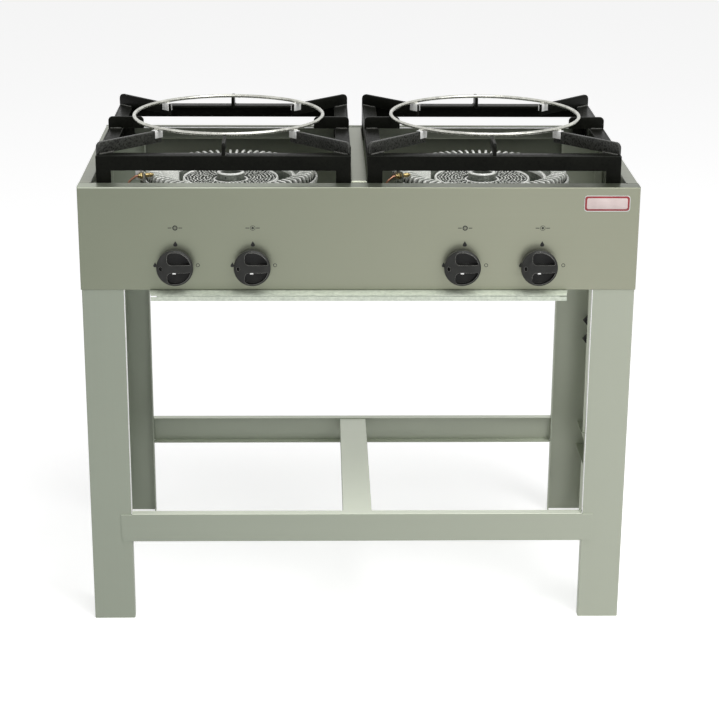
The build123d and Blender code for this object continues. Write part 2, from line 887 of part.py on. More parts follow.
# Burners of each bay
rib_middle = (rib_outer_radius + rib_inner_radius) / 2
rib_length = rib_outer_radius - rib_inner_radius - 2 * rib_inset
rib_depth = ring_crest_height - ring_shoulder_height
ring_port_y = burner_y - sqrt(rib_middle**2 - mixer_offset**2)
for side_name, way in SIDES.items():
    cx = way * burner_spot
    with BuildPart() as outer_burner:
        turned(
            cx,
            burner_y,
            [
                (ring_inner_radius, 0),
                (ring_outer_radius, 0),
                (ring_wall_radius, ring_shoulder_height),
                (rib_outer_radius, ring_crown_height),
                (rib_inner_radius, ring_crown_height),
                (ring_inner_radius, ring_shoulder_height),
            ],
        )
        with Locations((cx, burner_y, burner_base + ring_crest_height - rib_depth / 2)):
            with PolarLocations(rib_middle, rib_count):
                Box(rib_length, rib_width, rib_depth)
        block(
            (cx - lug_radius, cx - ring_inner_radius - lug_weld),
            (burner_y - lug_width / 2, burner_y + lug_width / 2),
            (burner_base, burner_base + lug_height),
        )
        mixer(cx - mixer_offset, ring_port_y, mouth_y, burner_base + mixer_seat)
        mixer_mouth(cx - mixer_offset, mouth_y)
    finish(outer_burner, f"outer_burner_{side_name}")

    with BuildPart() as inner_burner:
        turned(
            cx,
            burner_y,
            [
                (hub_bore_radius, 0),
                (hub_radius, 0),
                (hub_radius - hub_rim_width / 2, hub_rim_height),
                (hub_radius - hub_rim_width, hub_wall_height),
                (hub_land_radius, hub_wall_height),
                (hub_bore_radius + hub_lip, hub_lip_height),
                (hub_bore_radius, hub_lip_height),
            ],
        )
        with Locations((cx, burner_y, burner_base + hub_wall_height)):
            with PolarLocations(tooth_radius, tooth_count):
                Box(tooth_length, tooth_width, 2 * tooth_height)
        mixer(cx + mixer_offset, burner_y, mouth_y, burner_base + mixer_seat)
        mixer_mouth(cx + mixer_offset, mouth_y)
    finish(inner_burner, f"inner_burner_{side_name}")

# Pan grates: angle-iron frame on four legs, with flat bar fingers on edge
half_grate = grate_width / 2
half_grate_depth = grate_depth / 2
for side_name, way in SIDES.items():
    cx = way * grate_spot
    with BuildPart() as grate:
        with BuildSketch(Plane.XY.offset(grate_top)):
            with Locations((cx, grate_y)):
                Rectangle(grate_width, grate_depth)
                Rectangle(
                    grate_width - 2 * angle_leg,
                    grate_depth - 2 * angle_leg,
                    mode=Mode.SUBTRACT,
                )
        extrude(amount=-angle_thickness)
        with BuildSketch(Plane.XY.offset(grate_top)):
            with Locations((cx, grate_y)):
                Rectangle(grate_width, grate_depth)
                Rectangle(
                    grate_width - 2 * angle_thickness,
                    grate_depth - 2 * angle_thickness,
                    mode=Mode.SUBTRACT,
                )
        extrude(amount=-angle_leg)
        for sx in (-1, 1):
            for sy in (-1, 1):
                corner = (cx + sx * half_grate, grate_y + sy * half_grate_depth)
                with BuildSketch(Plane.XY.offset(ledge_top + rest_gap)):
                    with Locations(
                        (corner[0] - sx * angle_leg / 2, corner[1] - sy * angle_thickness / 2)
                    ):
                        Rectangle(angle_leg, angle_thickness)
                    with Locations(
                        (corner[0] - sx * angle_thickness / 2, corner[1] - sy * angle_leg / 2)
                    ):
                        Rectangle(angle_thickness, angle_leg)
                extrude(amount=grate_top - ledge_top - rest_gap)
        for quarter in range(4):
            angle = 45 + 90 * quarter
            with BuildSketch(
                Plane(
                    (cx, grate_y, grate_top),
                    x_dir=(cos(radians(angle)), sin(radians(angle)), 0),
                    z_dir=(sin(radians(angle)), -cos(radians(angle)), 0),
                )
            ):
                with Locations(((corner_finger_outer + corner_finger_inner) / 2, finger_height / 2)):
                    Rectangle(corner_finger_outer - corner_finger_inner, finger_height)
                tips = vertices().group_by(Axis.Y)[-1].sort_by(Axis.X)
                fillet(tips[-1], finger_outer_round)
                chamfer(tips[0], finger_inner_round)
            extrude(amount=finger_thickness / 2, both=True)
            reach = half_grate if quarter % 2 == 0 else half_grate_depth
            angle = 90 * quarter
            with BuildSketch(
                Plane(
                    (cx, grate_y, grate_top),
                    x_dir=(cos(radians(angle)), sin(radians(angle)), 0),
                    z_dir=(sin(radians(angle)), -cos(radians(angle)), 0),
                )
            ):
                with Locations((reach - mid_finger_length / 2, finger_height / 2)):
                    Rectangle(mid_finger_length, finger_height)
                chamfer(vertices().group_by(Axis.Y)[-1], finger_inner_round)
            extrude(amount=finger_thickness / 2, both=True)
    finish(grate, f"grate_{side_name}")

    # Wok ring: bent bar with four sheet clips that straddle the corner fingers
    with BuildPart() as wok_ring:
        with BuildSketch(Plane((cx, grate_y, wok_ring_height), x_dir=(1, 0, 0), z_dir=(0, -1, 0))):
            with Locations((wok_ring_radius, 0)):
                RegularPolygon(wok_bar / 2, 6, major_radius=False)
        revolve(axis=Axis((cx, grate_y, 0), (0, 0, 1)))
        clip_inside = finger_thickness / 2 + clip_side_gap
        with BuildSketch(
            Plane(
                (cx, grate_y, finger_top + rest_gap),
                x_dir=(-sin(radians(45)), cos(radians(45)), 0),
                z_dir=(cos(radians(45)), sin(radians(45)), 0),
            ).offset(wok_ring_radius - clip_width / 2)
        ):
            with BuildLine():
                Polyline(
                    (-clip_inside, -clip_drop),
                    (-clip_inside, 0),
                    (clip_inside, 0),
                    (clip_inside, -clip_drop),
                )
                offset(amount=clip_sheet, side=Side.LEFT, kind=Kind.INTERSECTION)
            make_face()
        clip_solid = extrude(amount=clip_width, mode=Mode.PRIVATE)
        for quarter in range(4):
            add(clip_solid.rotate(Axis((cx, grate_y, 0), (0, 0, 1)), 90 * quarter))
    finish(wok_ring, f"wok_ring_{side_name}")

# Pilot burners: each is screwed through the upright plate of a bracket beside the outer ring
pilot_aim = Vector(-pilot_offset[0], -pilot_offset[1], 0).normalized()
pilot_across = Vector(-pilot_aim.Y, pilot_aim.X, 0)
pilot_seat = Vector(*pilot_offset, 0) - pilot_aim * pilot_barrel
foot_rear = -(bar_spacing - bar_width) / 2 - pilot_foot_inset
plate_rise = pilot_height + pilot_plate_rise - burner_base
plate_ends = [pilot_seat + pilot_across * (end * pilot_plate_width / 2) for end in (1, -1)]
foot_heel = plate_ends[1] - pilot_aim * pilot_foot_step
foot_outline = [
    (plate_ends[1].X, plate_ends[1].Y),
    (plate_ends[0].X, plate_ends[0].Y),
    (-pilot_foot_inner, foot_rear - bar_width + pilot_foot_inset),
    (-pilot_foot_inner, foot_rear),
    (-pilot_foot_outer, foot_rear),
    (-pilot_foot_outer, plate_ends[0].Y),
    (foot_heel.X, foot_heel.Y),
]
with BuildPart() as pilot_brackets:
    for way in SIDES.values():
        centre = Vector(way * burner_spot, burner_y, burner_base)
        with BuildSketch(Plane(centre)):
            with BuildLine():
                Polyline(*foot_outline, close=True)
            make_face()
        extrude(amount=pilot_plate)
        with BuildSketch(Plane(centre + pilot_seat, x_dir=pilot_across, z_dir=pilot_aim)):
            with Locations((0, plate_rise / 2)):
                Rectangle(pilot_plate_width, plate_rise)
            fillet(vertices().group_by(Axis.Y)[-1], pilot_plate_round)
            with Locations((0, pilot_height - burner_base)):
                RegularPolygon(pilot_neck_radius + rest_gap, 8, mode=Mode.SUBTRACT)
        extrude(amount=-pilot_plate)
finish(pilot_brackets, "pilot_brackets")

with BuildPart() as pilot_burners:
    for way in SIDES.values():
        seat = Vector(way * burner_spot, burner_y, pilot_height) + pilot_seat
        barrel_plane = Plane(seat, x_dir=pilot_across, z_dir=pilot_aim)
        with BuildSketch(barrel_plane):
            RegularPolygon(pilot_radius, 8)
        extrude(amount=pilot_barrel)
        with BuildSketch(barrel_plane):
            RegularPolygon(pilot_neck_radius, 8)
        extrude(amount=-pilot_plate)
        with BuildSketch(barrel_plane.offset(-pilot_plate)):
            RegularPolygon(pilot_nut_width / 2, 6, major_radius=False)
        extrude(amount=-pilot_nut_length)
finish(pilot_burners, "pilot_burners")

with BuildPart() as pilot_tubes:
    for way in SIDES.values():
        centre = Vector(way * burner_spot, burner_y, pilot_height)
        tail = centre + pilot_seat - pilot_aim * (pilot_plate + pilot_nut_length)
        knee = tail - pilot_aim * pilot_knee_run - Vector(0, 0, pilot_knee_drop)
        tap_x = centre.X + pilot_tap_spot
        with BuildLine() as pilot_route:
            Polyline(
                tail,
                tail - pilot_aim * pilot_tube_lead,
                knee,
                (knee.X, knee.Y, pilot_tube_top),
                (tap_x, pipe_y, pilot_tube_top),
                (tap_x, pipe_y, pipe_height + pipe_radius + rest_gap),
            )
        with BuildSketch(Plane(tail, x_dir=pilot_across, z_dir=-pilot_aim)):
            RegularPolygon(pilot_tube_radius, 6)
        sweep(path=pilot_route.line, transition=Transition.RIGHT)
finish(pilot_tubes, "pilot_tubes")

# Hose clips: hooked strips on the inner face of the right rear leg
clip_face = leg_outer - leg_sheet
clip_y = leg_rear - leg_sheet - hose_clip_spot
with BuildPart() as hose_clips:
    for height in clip_heights:
        with BuildSketch(Plane.XY.offset(height - hose_clip_height / 2)):
            folded_face(
                [
                    (clip_face - hose_clip_sheet, clip_y + hose_clip_reach / 2),
                    (clip_face - hose_clip_sheet, clip_y - hose_clip_reach / 2),
                    (clip_face - hose_clip_reach, clip_y - hose_clip_reach / 2),
                    (clip_face - hose_clip_reach, clip_y),
                ],
                Side.LEFT,
                hose_clip_sheet,
            )
        extrude(amount=hose_clip_height)
finish(hose_clips, "hose_clips")
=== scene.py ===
"""Looks of a two-burner industrial gas stove: finishes, castings, grates, knobs and studio.

All lengths are in metres, in the frame's own place.
"""

import json
import logging
import math
import random
from dataclasses import dataclass, replace
from enum import Enum
from typing import Iterable, Sequence

import bmesh
import bpy
from mathutils import Matrix, Vector, noise


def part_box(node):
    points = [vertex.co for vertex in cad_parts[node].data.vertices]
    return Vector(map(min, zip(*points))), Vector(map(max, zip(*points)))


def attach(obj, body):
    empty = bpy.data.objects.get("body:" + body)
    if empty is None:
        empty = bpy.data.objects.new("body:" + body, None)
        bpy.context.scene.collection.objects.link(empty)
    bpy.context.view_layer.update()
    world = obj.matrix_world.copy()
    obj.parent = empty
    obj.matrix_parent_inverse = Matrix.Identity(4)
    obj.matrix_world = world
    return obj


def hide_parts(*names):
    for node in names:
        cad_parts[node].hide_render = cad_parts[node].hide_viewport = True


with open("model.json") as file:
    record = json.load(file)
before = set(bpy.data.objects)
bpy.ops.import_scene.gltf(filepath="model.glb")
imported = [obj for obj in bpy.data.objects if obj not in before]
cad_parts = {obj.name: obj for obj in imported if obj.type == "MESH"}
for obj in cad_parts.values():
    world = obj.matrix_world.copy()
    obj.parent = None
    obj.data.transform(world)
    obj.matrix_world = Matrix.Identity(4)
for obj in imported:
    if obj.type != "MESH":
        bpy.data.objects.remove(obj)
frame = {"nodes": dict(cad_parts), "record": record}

log = logging.getLogger("gas_stove")
logging.basicConfig(level=logging.INFO, format="%(name)s: %(message)s")

Point = tuple[float, float, float]
Colour = tuple[float, float, float]
Spot = tuple[float, float]

TURN = 2 * math.pi
HALF_TURN = math.pi
QUARTER = math.pi / 2
SIDES = (-1, 1)
# Lays a section flat in XY upright: its X stays, its Y goes up.
UPRIGHT = Matrix.Rotation(QUARTER, 4, "X")
# Lays a section flat in XY across the stove: its X runs along Y, its Y goes up.
ACROSS = Matrix(((0, 0, 1, 0), (1, 0, 0, 0), (0, 1, 0, 0), (0, 0, 0, 1)))


class Bay(Enum):
    """The two cooking places, by side."""

    LEFT = "left"
    RIGHT = "right"


class Ring(Enum):
    """The two burners of a bay."""

    OUTER = "outer"
    INNER = "inner"


# Mesh helpers


def new_piece(name: str, mesh: bpy.types.Mesh, body: str, finish: bpy.types.Material,
              smooth: float | None = 35.0) -> bpy.types.Object:
    """Put a mesh into the scene as a piece of the stove.

    Args:
        name: Piece name, letters, digits and underscores only.
        mesh: The finished mesh.
        body: The body it moves with.
        finish: Its material.
        smooth: Greatest angle in degrees that is shaded smooth, or None for flat.

    Returns:
        The new object.
    """
    piece = link_object(name, mesh)
    mesh.materials.clear()
    mesh.materials.append(finish)
    if smooth is not None:
        mesh.shade_smooth()
        mesh.set_sharp_from_angle(angle=math.radians(smooth))
    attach(piece, body)
    log.info("%s: %d faces", name, len(mesh.polygons))
    return piece


def link_object(name: str, data: bpy.types.ID) -> bpy.types.Object:
    """Make an object of this data and link it to the scene.

    Args:
        name: The object's name.
        data: Its mesh, lamp or camera data.

    Returns:
        The new object.
    """
    item = bpy.data.objects.new(name, data)
    bpy.context.collection.objects.link(item)
    return item


def mesh_from(bm: bmesh.types.BMesh, name: str) -> bpy.types.Mesh:
    """Turn a bmesh into mesh data with outward normals, and free it.

    Args:
        bm: The finished bmesh.
        name: Name of the mesh data.

    Returns:
        The new mesh data.
    """
    bmesh.ops.recalc_face_normals(bm, faces=bm.faces)
    mesh = bpy.data.meshes.new(name)
    bm.to_mesh(mesh)
    bm.free()
    return mesh


def arc(start: float, end: float, steps: int) -> list[float]:
    """Angles from start to end, both included, in equal steps."""
    return [start + (end - start) * i / steps for i in range(steps + 1)]


def on_circle(radius: float, angles: Iterable[float], middle: Spot = (0.0, 0.0)) -> list[Spot]:
    """Points of a circle at these angles about its middle."""
    return [(middle[0] + radius * math.cos(a), middle[1] + radius * math.sin(a)) for a in angles]


def rounded_rectangle(width: float, height: float, radius: float, steps: int = 6) -> list[Spot]:
    """Outline of a rectangle with rounded corners, about its own middle.

    Args:
        width: Its whole width.
        height: Its whole height.
        radius: Radius of its corners.
        steps: Steps in each corner.

    Returns:
        The outline's points, in order.
    """
    outline = []
    for quarter, (sx, sy) in enumerate(((1, 1), (-1, 1), (-1, -1), (1, -1))):
        middle = (sx * (width / 2 - radius), sy * (height / 2 - radius))
        angles = arc(QUARTER * quarter, QUARTER * (quarter + 1), steps)
        outline += on_circle(radius, angles, middle)
    return outline


def add_lathe(bm: bmesh.types.BMesh, profile: Sequence[Spot], steps: int,
              place: Matrix) -> None:
    """Add a closed ring or a capped turned form.

    Args:
        bm: The bmesh to add to.
        profile: Points (radius, height); a first or last radius of zero closes on the axis.
        steps: Number of steps round the axis.
        place: Where the axis form goes, Z being the axis.
    """
    on_axis = 1e-9
    rings = []
    for radius, height in profile:
        if radius < on_axis:
            rings.append([bm.verts.new(place @ Vector((0, 0, height)))])
            continue
        angles = [TURN * i / steps for i in range(steps)]
        rings.append([bm.verts.new(place @ Vector((radius * math.cos(a), radius * math.sin(a),
                                                   height))) for a in angles])
    pairs = list(zip(rings, rings[1:]))
    if profile[0][0] > on_axis and profile[-1][0] > on_axis:
        pairs.append((rings[-1], rings[0]))
    for low, high in pairs:
        for i in range(steps):
            j = (i + 1) % steps
            if len(low) == 1:
                bm.faces.new((low[0], high[i], high[j]))
            elif len(high) == 1:
                bm.faces.new((low[i], low[j], high[0]))
            else:
                bm.faces.new((low[i], low[j], high[j], high[i]))


def rounded_path(points: Sequence[Sequence[float]], radius: float, steps: int) -> list[Vector]:
    """Round the corners of a path with arcs.

    Args:
        points: Corner points of the path.
        radius: Bend radius, made smaller where a run is too short for it.
        steps: Steps in each bend.

    Returns:
        The points of the rounded path.
    """
    run_share = 0.45
    corners = [Vector(p) for p in points]
    path = [corners[0]]
    for before, corner, after in zip(corners, corners[1:], corners[2:]):
        a, b = (before - corner), (after - corner)
        half = a.angle(b) / 2
        trim = min(radius / math.tan(half), a.length * run_share, b.length * run_share)
        start, end = corner + a.normalized() * trim, corner + b.normalized() * trim
        for i in range(steps + 1):
            t = i / steps
            path.append(start * (1 - t) ** 2 + corner * 2 * t * (1 - t) + end * t ** 2)
    path.append(corners[-1])
    return path


def add_tube(bm: bmesh.types.BMesh, path: Sequence[Vector], radius: float, steps: int,
             closed: bool = False) -> None:
    """Sweep a round section along a path.

    Args:
        bm: The bmesh to add to.
        path: Points of the centre line.
        radius: Radius of the section.
        steps: Steps round the section.
        closed: True for a ring, whose ends join.
    """
    steep = 0.9
    count = len(path)
    normal = None
    rings = []
    for i, here in enumerate(path):
        before = path[(i - 1) % count] if closed or i else here
        after = path[(i + 1) % count] if closed or i < count - 1 else here
        along = (after - before).normalized()
        if normal is None:
            upward = Vector((0, 0, 1))
            normal = along.orthogonal().normalized() if abs(along.z) > steep else upward
        normal = (normal - along * normal.dot(along)).normalized()
        side = along.cross(normal)
        angles = [TURN * k / steps for k in range(steps)]
        rings.append([bm.verts.new(here + radius * (normal * math.cos(a) + side * math.sin(a)))
                      for a in angles])
    pairs = list(zip(rings, rings[1:]))
    if closed:
        pairs.append((rings[-1], rings[0]))
    for a, b in pairs:
        for k in range(steps):
            bm.faces.new((a[k], a[(k + 1) % steps], b[(k + 1) % steps], b[k]))
    if not closed:
        bm.faces.new(list(reversed(rings[0])))
        bm.faces.new(rings[-1])


def add_prism(bm: bmesh.types.BMesh, outline: Sequence[Spot], depth: float, place: Matrix,
              edge: float = 0.0, segments: int = 2) -> None:
    """Add a bar with the given outline, its edges rounded.

    Args:
        bm: The bmesh to add to.
        outline: Corner points of the section, in order.
        depth: Length along the placed Z axis.
        place: Where the section's plane goes.
        edge: Edge rounding, or 0 for sharp edges.
        segments: Steps of the rounding.
    """
    sharp_angle = math.radians(25)
    part = bmesh.new()
    low = [part.verts.new((x, y, 0)) for x, y in outline]
    high = [part.verts.new((x, y, depth)) for x, y in outline]
    part.faces.new(list(reversed(low)))
    part.faces.new(high)
    for i in range(len(outline)):
        j = (i + 1) % len(outline)
        part.faces.new((low[i], low[j], high[j], high[i]))
    bmesh.ops.recalc_face_normals(part, faces=part.faces)
    if edge > 0:
        sharp = [e for e in part.edges if e.calc_face_angle(0) > sharp_angle]
        bmesh.ops.bevel(part, geom=sharp, offset=edge, segments=segments, affect="EDGES",
                        profile=0.5, clamp_overlap=True)
    bmesh.ops.transform(part, matrix=place, verts=part.verts)
    joined = bpy.data.meshes.new("part")
    part.to_mesh(joined)
    part.free()
    bm.from_mesh(joined)
    bpy.data.meshes.remove(joined)


def add_box(bm: bmesh.types.BMesh, low: Point, high: Point, edge: float = 0.0) -> None:
    """Add a block between two corners, its edges rounded.

    Args:
        bm: The bmesh to add to.
        low: Its lowest corner.
        high: Its highest corner.
        edge: Edge rounding, or 0 for sharp edges.
    """
    size = Vector(high) - Vector(low)
    middle = (Vector(high) + Vector(low)) / 2
    x, y = size.x / 2, size.y / 2
    place = Matrix.Translation(middle) @ Matrix.Translation((0, 0, -size.z / 2))
    add_prism(bm, [(-x, -y), (x, -y), (x, y), (-x, y)], size.z, place, edge)


def add_copies(bm: bmesh.types.BMesh, shape: bpy.types.Mesh, places: Iterable[Matrix]) -> None:
    """Add a copy of a mesh at each place, then remove the mesh.

    Args:
        bm: The bmesh to add to.
        shape: The mesh to copy.
        places: Where each copy goes.
    """
    for place in places:
        copy = shape.copy()
        copy.transform(place)
        bm.from_mesh(copy)
        bpy.data.meshes.remove(copy)
    bpy.data.meshes.remove(shape)


def apply_modifiers(target: bpy.types.Object) -> None:
    """Bake an object's modifiers into its mesh.

    Args:
        target: The object whose modifiers are baked.
    """
    bpy.context.view_layer.update()
    graph = bpy.context.evaluated_depsgraph_get()
    mesh = bpy.data.meshes.new_from_object(target.evaluated_get(graph))
    target.modifiers.clear()
    old = target.data
    target.data = mesh
    bpy.data.meshes.remove(old)


def round_edges(target: bpy.types.Object, width: float, segments: int, angle: float) -> None:
    """Round every sharp edge of an object.

    Args:
        target: The object to round.
        width: Width of the rounding.
        segments: Steps of the rounding.
        angle: Least angle in degrees between faces that counts as sharp.
    """
    step = target.modifiers.new("round", "BEVEL")
    step.width = width
    step.segments = segments
    step.limit_method = "ANGLE"
    step.angle_limit = math.radians(angle)
    step.harden_normals = False
    apply_modifiers(target)


def cut_away(target: bpy.types.Object, cutters: Iterable[bpy.types.Object]) -> None:
    """Cut solids out of an object and remove the cutters.

    Args:
        target: The object to cut.
        cutters: The solids to take out of it.
    """
    for cutter in cutters:
        step = target.modifiers.new("cut", "BOOLEAN")
        step.operation = "DIFFERENCE"
        step.solver = "MANIFOLD"
        step.object = cutter
        apply_modifiers(target)
        bpy.data.objects.remove(cutter)


@dataclass(frozen=True)
class WeldBead:
    """An uneven weld bead, a row of merged balls; all but the radius are shares of it."""

    radius: float
    seed: int
    pitch: float = 1.1
    sway: float = 0.3
    least: float = 0.85
    swell: float = 0.35
    sway_grain: Spot = (1.7, 0.61)
    sway_lanes: Point = (3.1, 11.9, 7.3)
    swell_grain: float = 0.9

    def add(self, bm: bmesh.types.BMesh, start: Vector, end: Vector) -> None:
        """Add the bead between two points.

        Args:
            bm: The bmesh to add to.
            start: First end.
            end: Second end.
        """
        count = max(3, int((end - start).length / (self.radius * self.pitch)))
        for i in range(count + 1):
            spot = start.lerp(end, i / count)
            drift = Vector([noise.noise(Vector((self.seed * self.sway_grain[0],
                                                i * self.sway_grain[1], lane)))
                            for lane in self.sway_lanes])
            bulge = abs(noise.noise(Vector((self.seed, i * self.swell_grain, 0.4))))
            bmesh.ops.create_icosphere(
                bm, subdivisions=2, radius=self.radius * (self.least + self.swell * bulge),
                matrix=Matrix.Translation(spot + drift * self.radius * self.sway))


# Finishes


class NodeBench:
    """Short hand for laying out and joining shader nodes."""

    def __init__(self, tree: bpy.types.NodeTree) -> None:
        """Take the node tree to work on."""
        self.tree = tree

    def add(self, kind: str, **settings: object) -> bpy.types.Node:
        """Add a node and set its properties; its sockets are set through `put`.

        Args:
            kind: The node's type.
            settings: Its properties, by name.

        Returns:
            The new node.
        """
        node = self.tree.nodes.new(kind)
        for key, value in settings.items():
            setattr(node, key, value)
        return node

    def put(self, node: bpy.types.Node, **values: object) -> bpy.types.Node:
        """Set sockets of a node by name.

        Args:
            node: The node.
            values: Its sockets' values, by name with underscores for spaces.

        Returns:
            The same node.
        """
        for key, value in values.items():
            node.inputs[key.replace("_", " ")].default_value = value
        return node

    def join(self, source: bpy.types.NodeSocket, target: bpy.types.NodeSocket) -> None:
        """Join an output to an input."""
        self.tree.links.new(source, target)

    def feed(self, target: bpy.types.NodeSocket, value: object) -> None:
        """Join an output to an input, or set the input to a value.

        Args:
            target: The input.
            value: An output, or a number or colour.
        """
        if isinstance(value, bpy.types.NodeSocket):
            self.join(value, target)
        else:
            target.default_value = value

    def maths(self, operation: str, a: object, b: object = 0.0) -> bpy.types.NodeSocket:
        """Add a math node.

        Args:
            operation: What it does.
            a: First socket or number.
            b: Second socket or number.

        Returns:
            Its result.
        """
        node = self.add("ShaderNodeMath", operation=operation)
        self.feed(node.inputs[0], a)
        self.feed(node.inputs[1], b)
        return node.outputs[0]

    def mix(self, factor: bpy.types.NodeSocket, a: object, b: object) -> bpy.types.NodeSocket:
        """Mix two colours by a mask.

        Args:
            factor: The mask.
            a: Colour or socket where the mask is 0.
            b: Colour or socket where the mask is 1.

        Returns:
            The mixed colour.
        """
        node = self.add("ShaderNodeMix", data_type="RGBA")
        self.join(factor, node.inputs["Factor"])
        for socket, value in zip((s for s in node.inputs if s.type == "RGBA"), (a, b)):
            self.feed(socket, (*value, 1.0) if isinstance(value, tuple) else value)
        return next(s for s in node.outputs if s.type == "RGBA")

    def ramp(self, value: bpy.types.NodeSocket, low: float, high: float,
             to_low: float = 0.0, to_high: float = 1.0) -> bpy.types.NodeSocket:
        """Map a range of a value to another range, clamped.

        Args:
            value: The value.
            low: Where the range starts.
            high: Where the range ends.
            to_low: Result at the start.
            to_high: Result at the end.

        Returns:
            The mapped value.
        """
        node = self.add("ShaderNodeMapRange", clamp=True)
        self.join(value, node.inputs["Value"])
        self.put(node, From_Min=low, From_Max=high, To_Min=to_low, To_Max=to_high)
        return node.outputs["Result"]

    def noise(self, vector: bpy.types.NodeSocket, scale: bpy.types.NodeSocket,
              **values: object) -> bpy.types.NodeSocket:
        """Add a noise texture.

        Args:
            vector: Where it is read.
            scale: How fine it is.
            values: Its other sockets' values, by name.

        Returns:
            Its value.
        """
        node = self.put(self.add("ShaderNodeTexNoise"), **values)
        self.join(vector, node.inputs["Vector"])
        self.join(scale, node.inputs["Scale"])
        return node.outputs["Fac"]


def effect_group(name: str, inputs: dict[str, float | Point],
                 outputs: Sequence[str]) -> tuple[bpy.types.NodeTree, NodeBench]:
    """Start a shader node group.

    Args:
        name: The group's name.
        inputs: Default of each input, by name; a triple makes it a vector.
        outputs: Name of each output, all of them values.

    Returns:
        The group and a bench on it, with its input and output nodes named in and out.
    """
    tree = bpy.data.node_groups.new(name, "ShaderNodeTree")
    for title, default in inputs.items():
        kind = "NodeSocketVector" if isinstance(default, tuple) else "NodeSocketFloat"
        socket = tree.interface.new_socket(name=title, in_out="INPUT", socket_type=kind)
        socket.default_value = default
    for title in outputs:
        tree.interface.new_socket(name=title, in_out="OUTPUT", socket_type="NodeSocketFloat")
    bench = NodeBench(tree)
    bench.add("NodeGroupInput", name="in")
    bench.add("NodeGroupOutput", name="out")
    return tree, bench


def grain_group() -> bpy.types.NodeTree:
    """Fine grain drawn out along one axis, and slow cloudy tone.

    Returns:
        The node group.
    """
    tree, bench = effect_group(
        "surface_grain", {"Scale": 400.0, "Stretch": (1.0, 1.0, 1.0), "Cloud Scale": 6.0},
        ["Grain", "Cloud"])
    inside, outside = tree.nodes["in"], tree.nodes["out"]
    place = bench.add("ShaderNodeTexCoord").outputs["Object"]
    stretch = bench.add("ShaderNodeVectorMath", operation="MULTIPLY")
    bench.join(place, stretch.inputs[0])
    bench.join(inside.outputs["Stretch"], stretch.inputs[1])
    fine = bench.noise(stretch.outputs[0], inside.outputs["Scale"], Detail=3.0, Roughness=0.6)
    cloud = bench.noise(place, inside.outputs["Cloud Scale"], Detail=2.0, Roughness=0.5)
    bench.join(fine, outside.inputs["Grain"])
    bench.join(cloud, outside.inputs["Cloud"])
    return tree


def edge_group() -> bpy.types.NodeTree:
    """Mask of edges for painted highlights, from how much a rounded normal differs from the flat
    one.

    Returns:
        The node group.
    """
    tree, bench = effect_group("edge_mask", {"Break Up": 90.0, "Amount": 1.0}, ["Edge"])
    inside, outside = tree.nodes["in"], tree.nodes["out"]
    flat = bench.add("ShaderNodeNewGeometry")
    soft = bench.put(bench.add("ShaderNodeBevel", samples=4), Radius=0.0012)
    likeness = bench.add("ShaderNodeVectorMath", operation="DOT_PRODUCT")
    bench.join(flat.outputs["Normal"], likeness.inputs[0])
    bench.join(soft.outputs["Normal"], likeness.inputs[1])
    edge = bench.ramp(likeness.outputs["Value"], low=0.995, high=0.9)
    place = bench.add("ShaderNodeTexCoord").outputs["Object"]
    patch = bench.noise(place, inside.outputs["Break Up"], Detail=4.0)
    broken = bench.maths("MULTIPLY", edge, bench.ramp(patch, low=0.28, high=0.48))
    bench.join(bench.maths("MULTIPLY", broken, inside.outputs["Amount"]), outside.inputs["Edge"])
    return tree


def place_group() -> bpy.types.NodeTree:
    """Masks by place, for painted light: the line along a fold in front, upward faces, and left to
    right.

    Returns:
        The node group.
    """
    left_end = 0.45
    tree, bench = effect_group(
        "place_masks", {"Height": 0.0, "Width": 0.002, "Side End": 0.45},
        ["Fold", "Top", "Side"])
    inside, outside = tree.nodes["in"], tree.nodes["out"]
    place, facing = bench.add("ShaderNodeSeparateXYZ"), bench.add("ShaderNodeSeparateXYZ")
    bench.join(bench.add("ShaderNodeTexCoord").outputs["Object"], place.inputs[0])
    bench.join(bench.add("ShaderNodeNewGeometry").outputs["Normal"], facing.inputs[0])
    offset = bench.maths("SUBTRACT", place.outputs["Z"], inside.outputs["Height"])
    away = bench.maths("DIVIDE", bench.maths("ABSOLUTE", offset), inside.outputs["Width"])
    near = bench.ramp(away, low=1.0, high=0.6)
    front = bench.ramp(facing.outputs["Y"], low=-0.15, high=-0.45)
    bench.join(bench.maths("MULTIPLY", near, front), outside.inputs["Fold"])
    bench.join(bench.ramp(facing.outputs["Z"], low=0.5, high=0.8), outside.inputs["Top"])
    reach = bench.maths("ADD", inside.outputs["Side End"], left_end)
    along = bench.maths("DIVIDE", bench.maths("ADD", place.outputs["X"], left_end), reach)
    bench.join(bench.ramp(along, low=0.0, high=1.0), outside.inputs["Side"])
    return tree


def cavity_group() -> bpy.types.NodeTree:
    """Mask of sheltered places, for painted shade in gaps, pockets and the bays.

    Returns:
        The node group.
    """
    tree, bench = effect_group("cavity_mask", {"Reach": 0.006, "Amount": 1.0}, ["Cavity"])
    inside, outside = tree.nodes["in"], tree.nodes["out"]
    shelter = bench.add("ShaderNodeAmbientOcclusion", samples=8)
    bench.join(inside.outputs["Reach"], shelter.inputs["Distance"])
    deep = bench.ramp(shelter.outputs["AO"], low=0.88, high=0.42)
    bench.join(bench.maths("MULTIPLY", deep, inside.outputs["Amount"]), outside.inputs["Cavity"])
    return tree


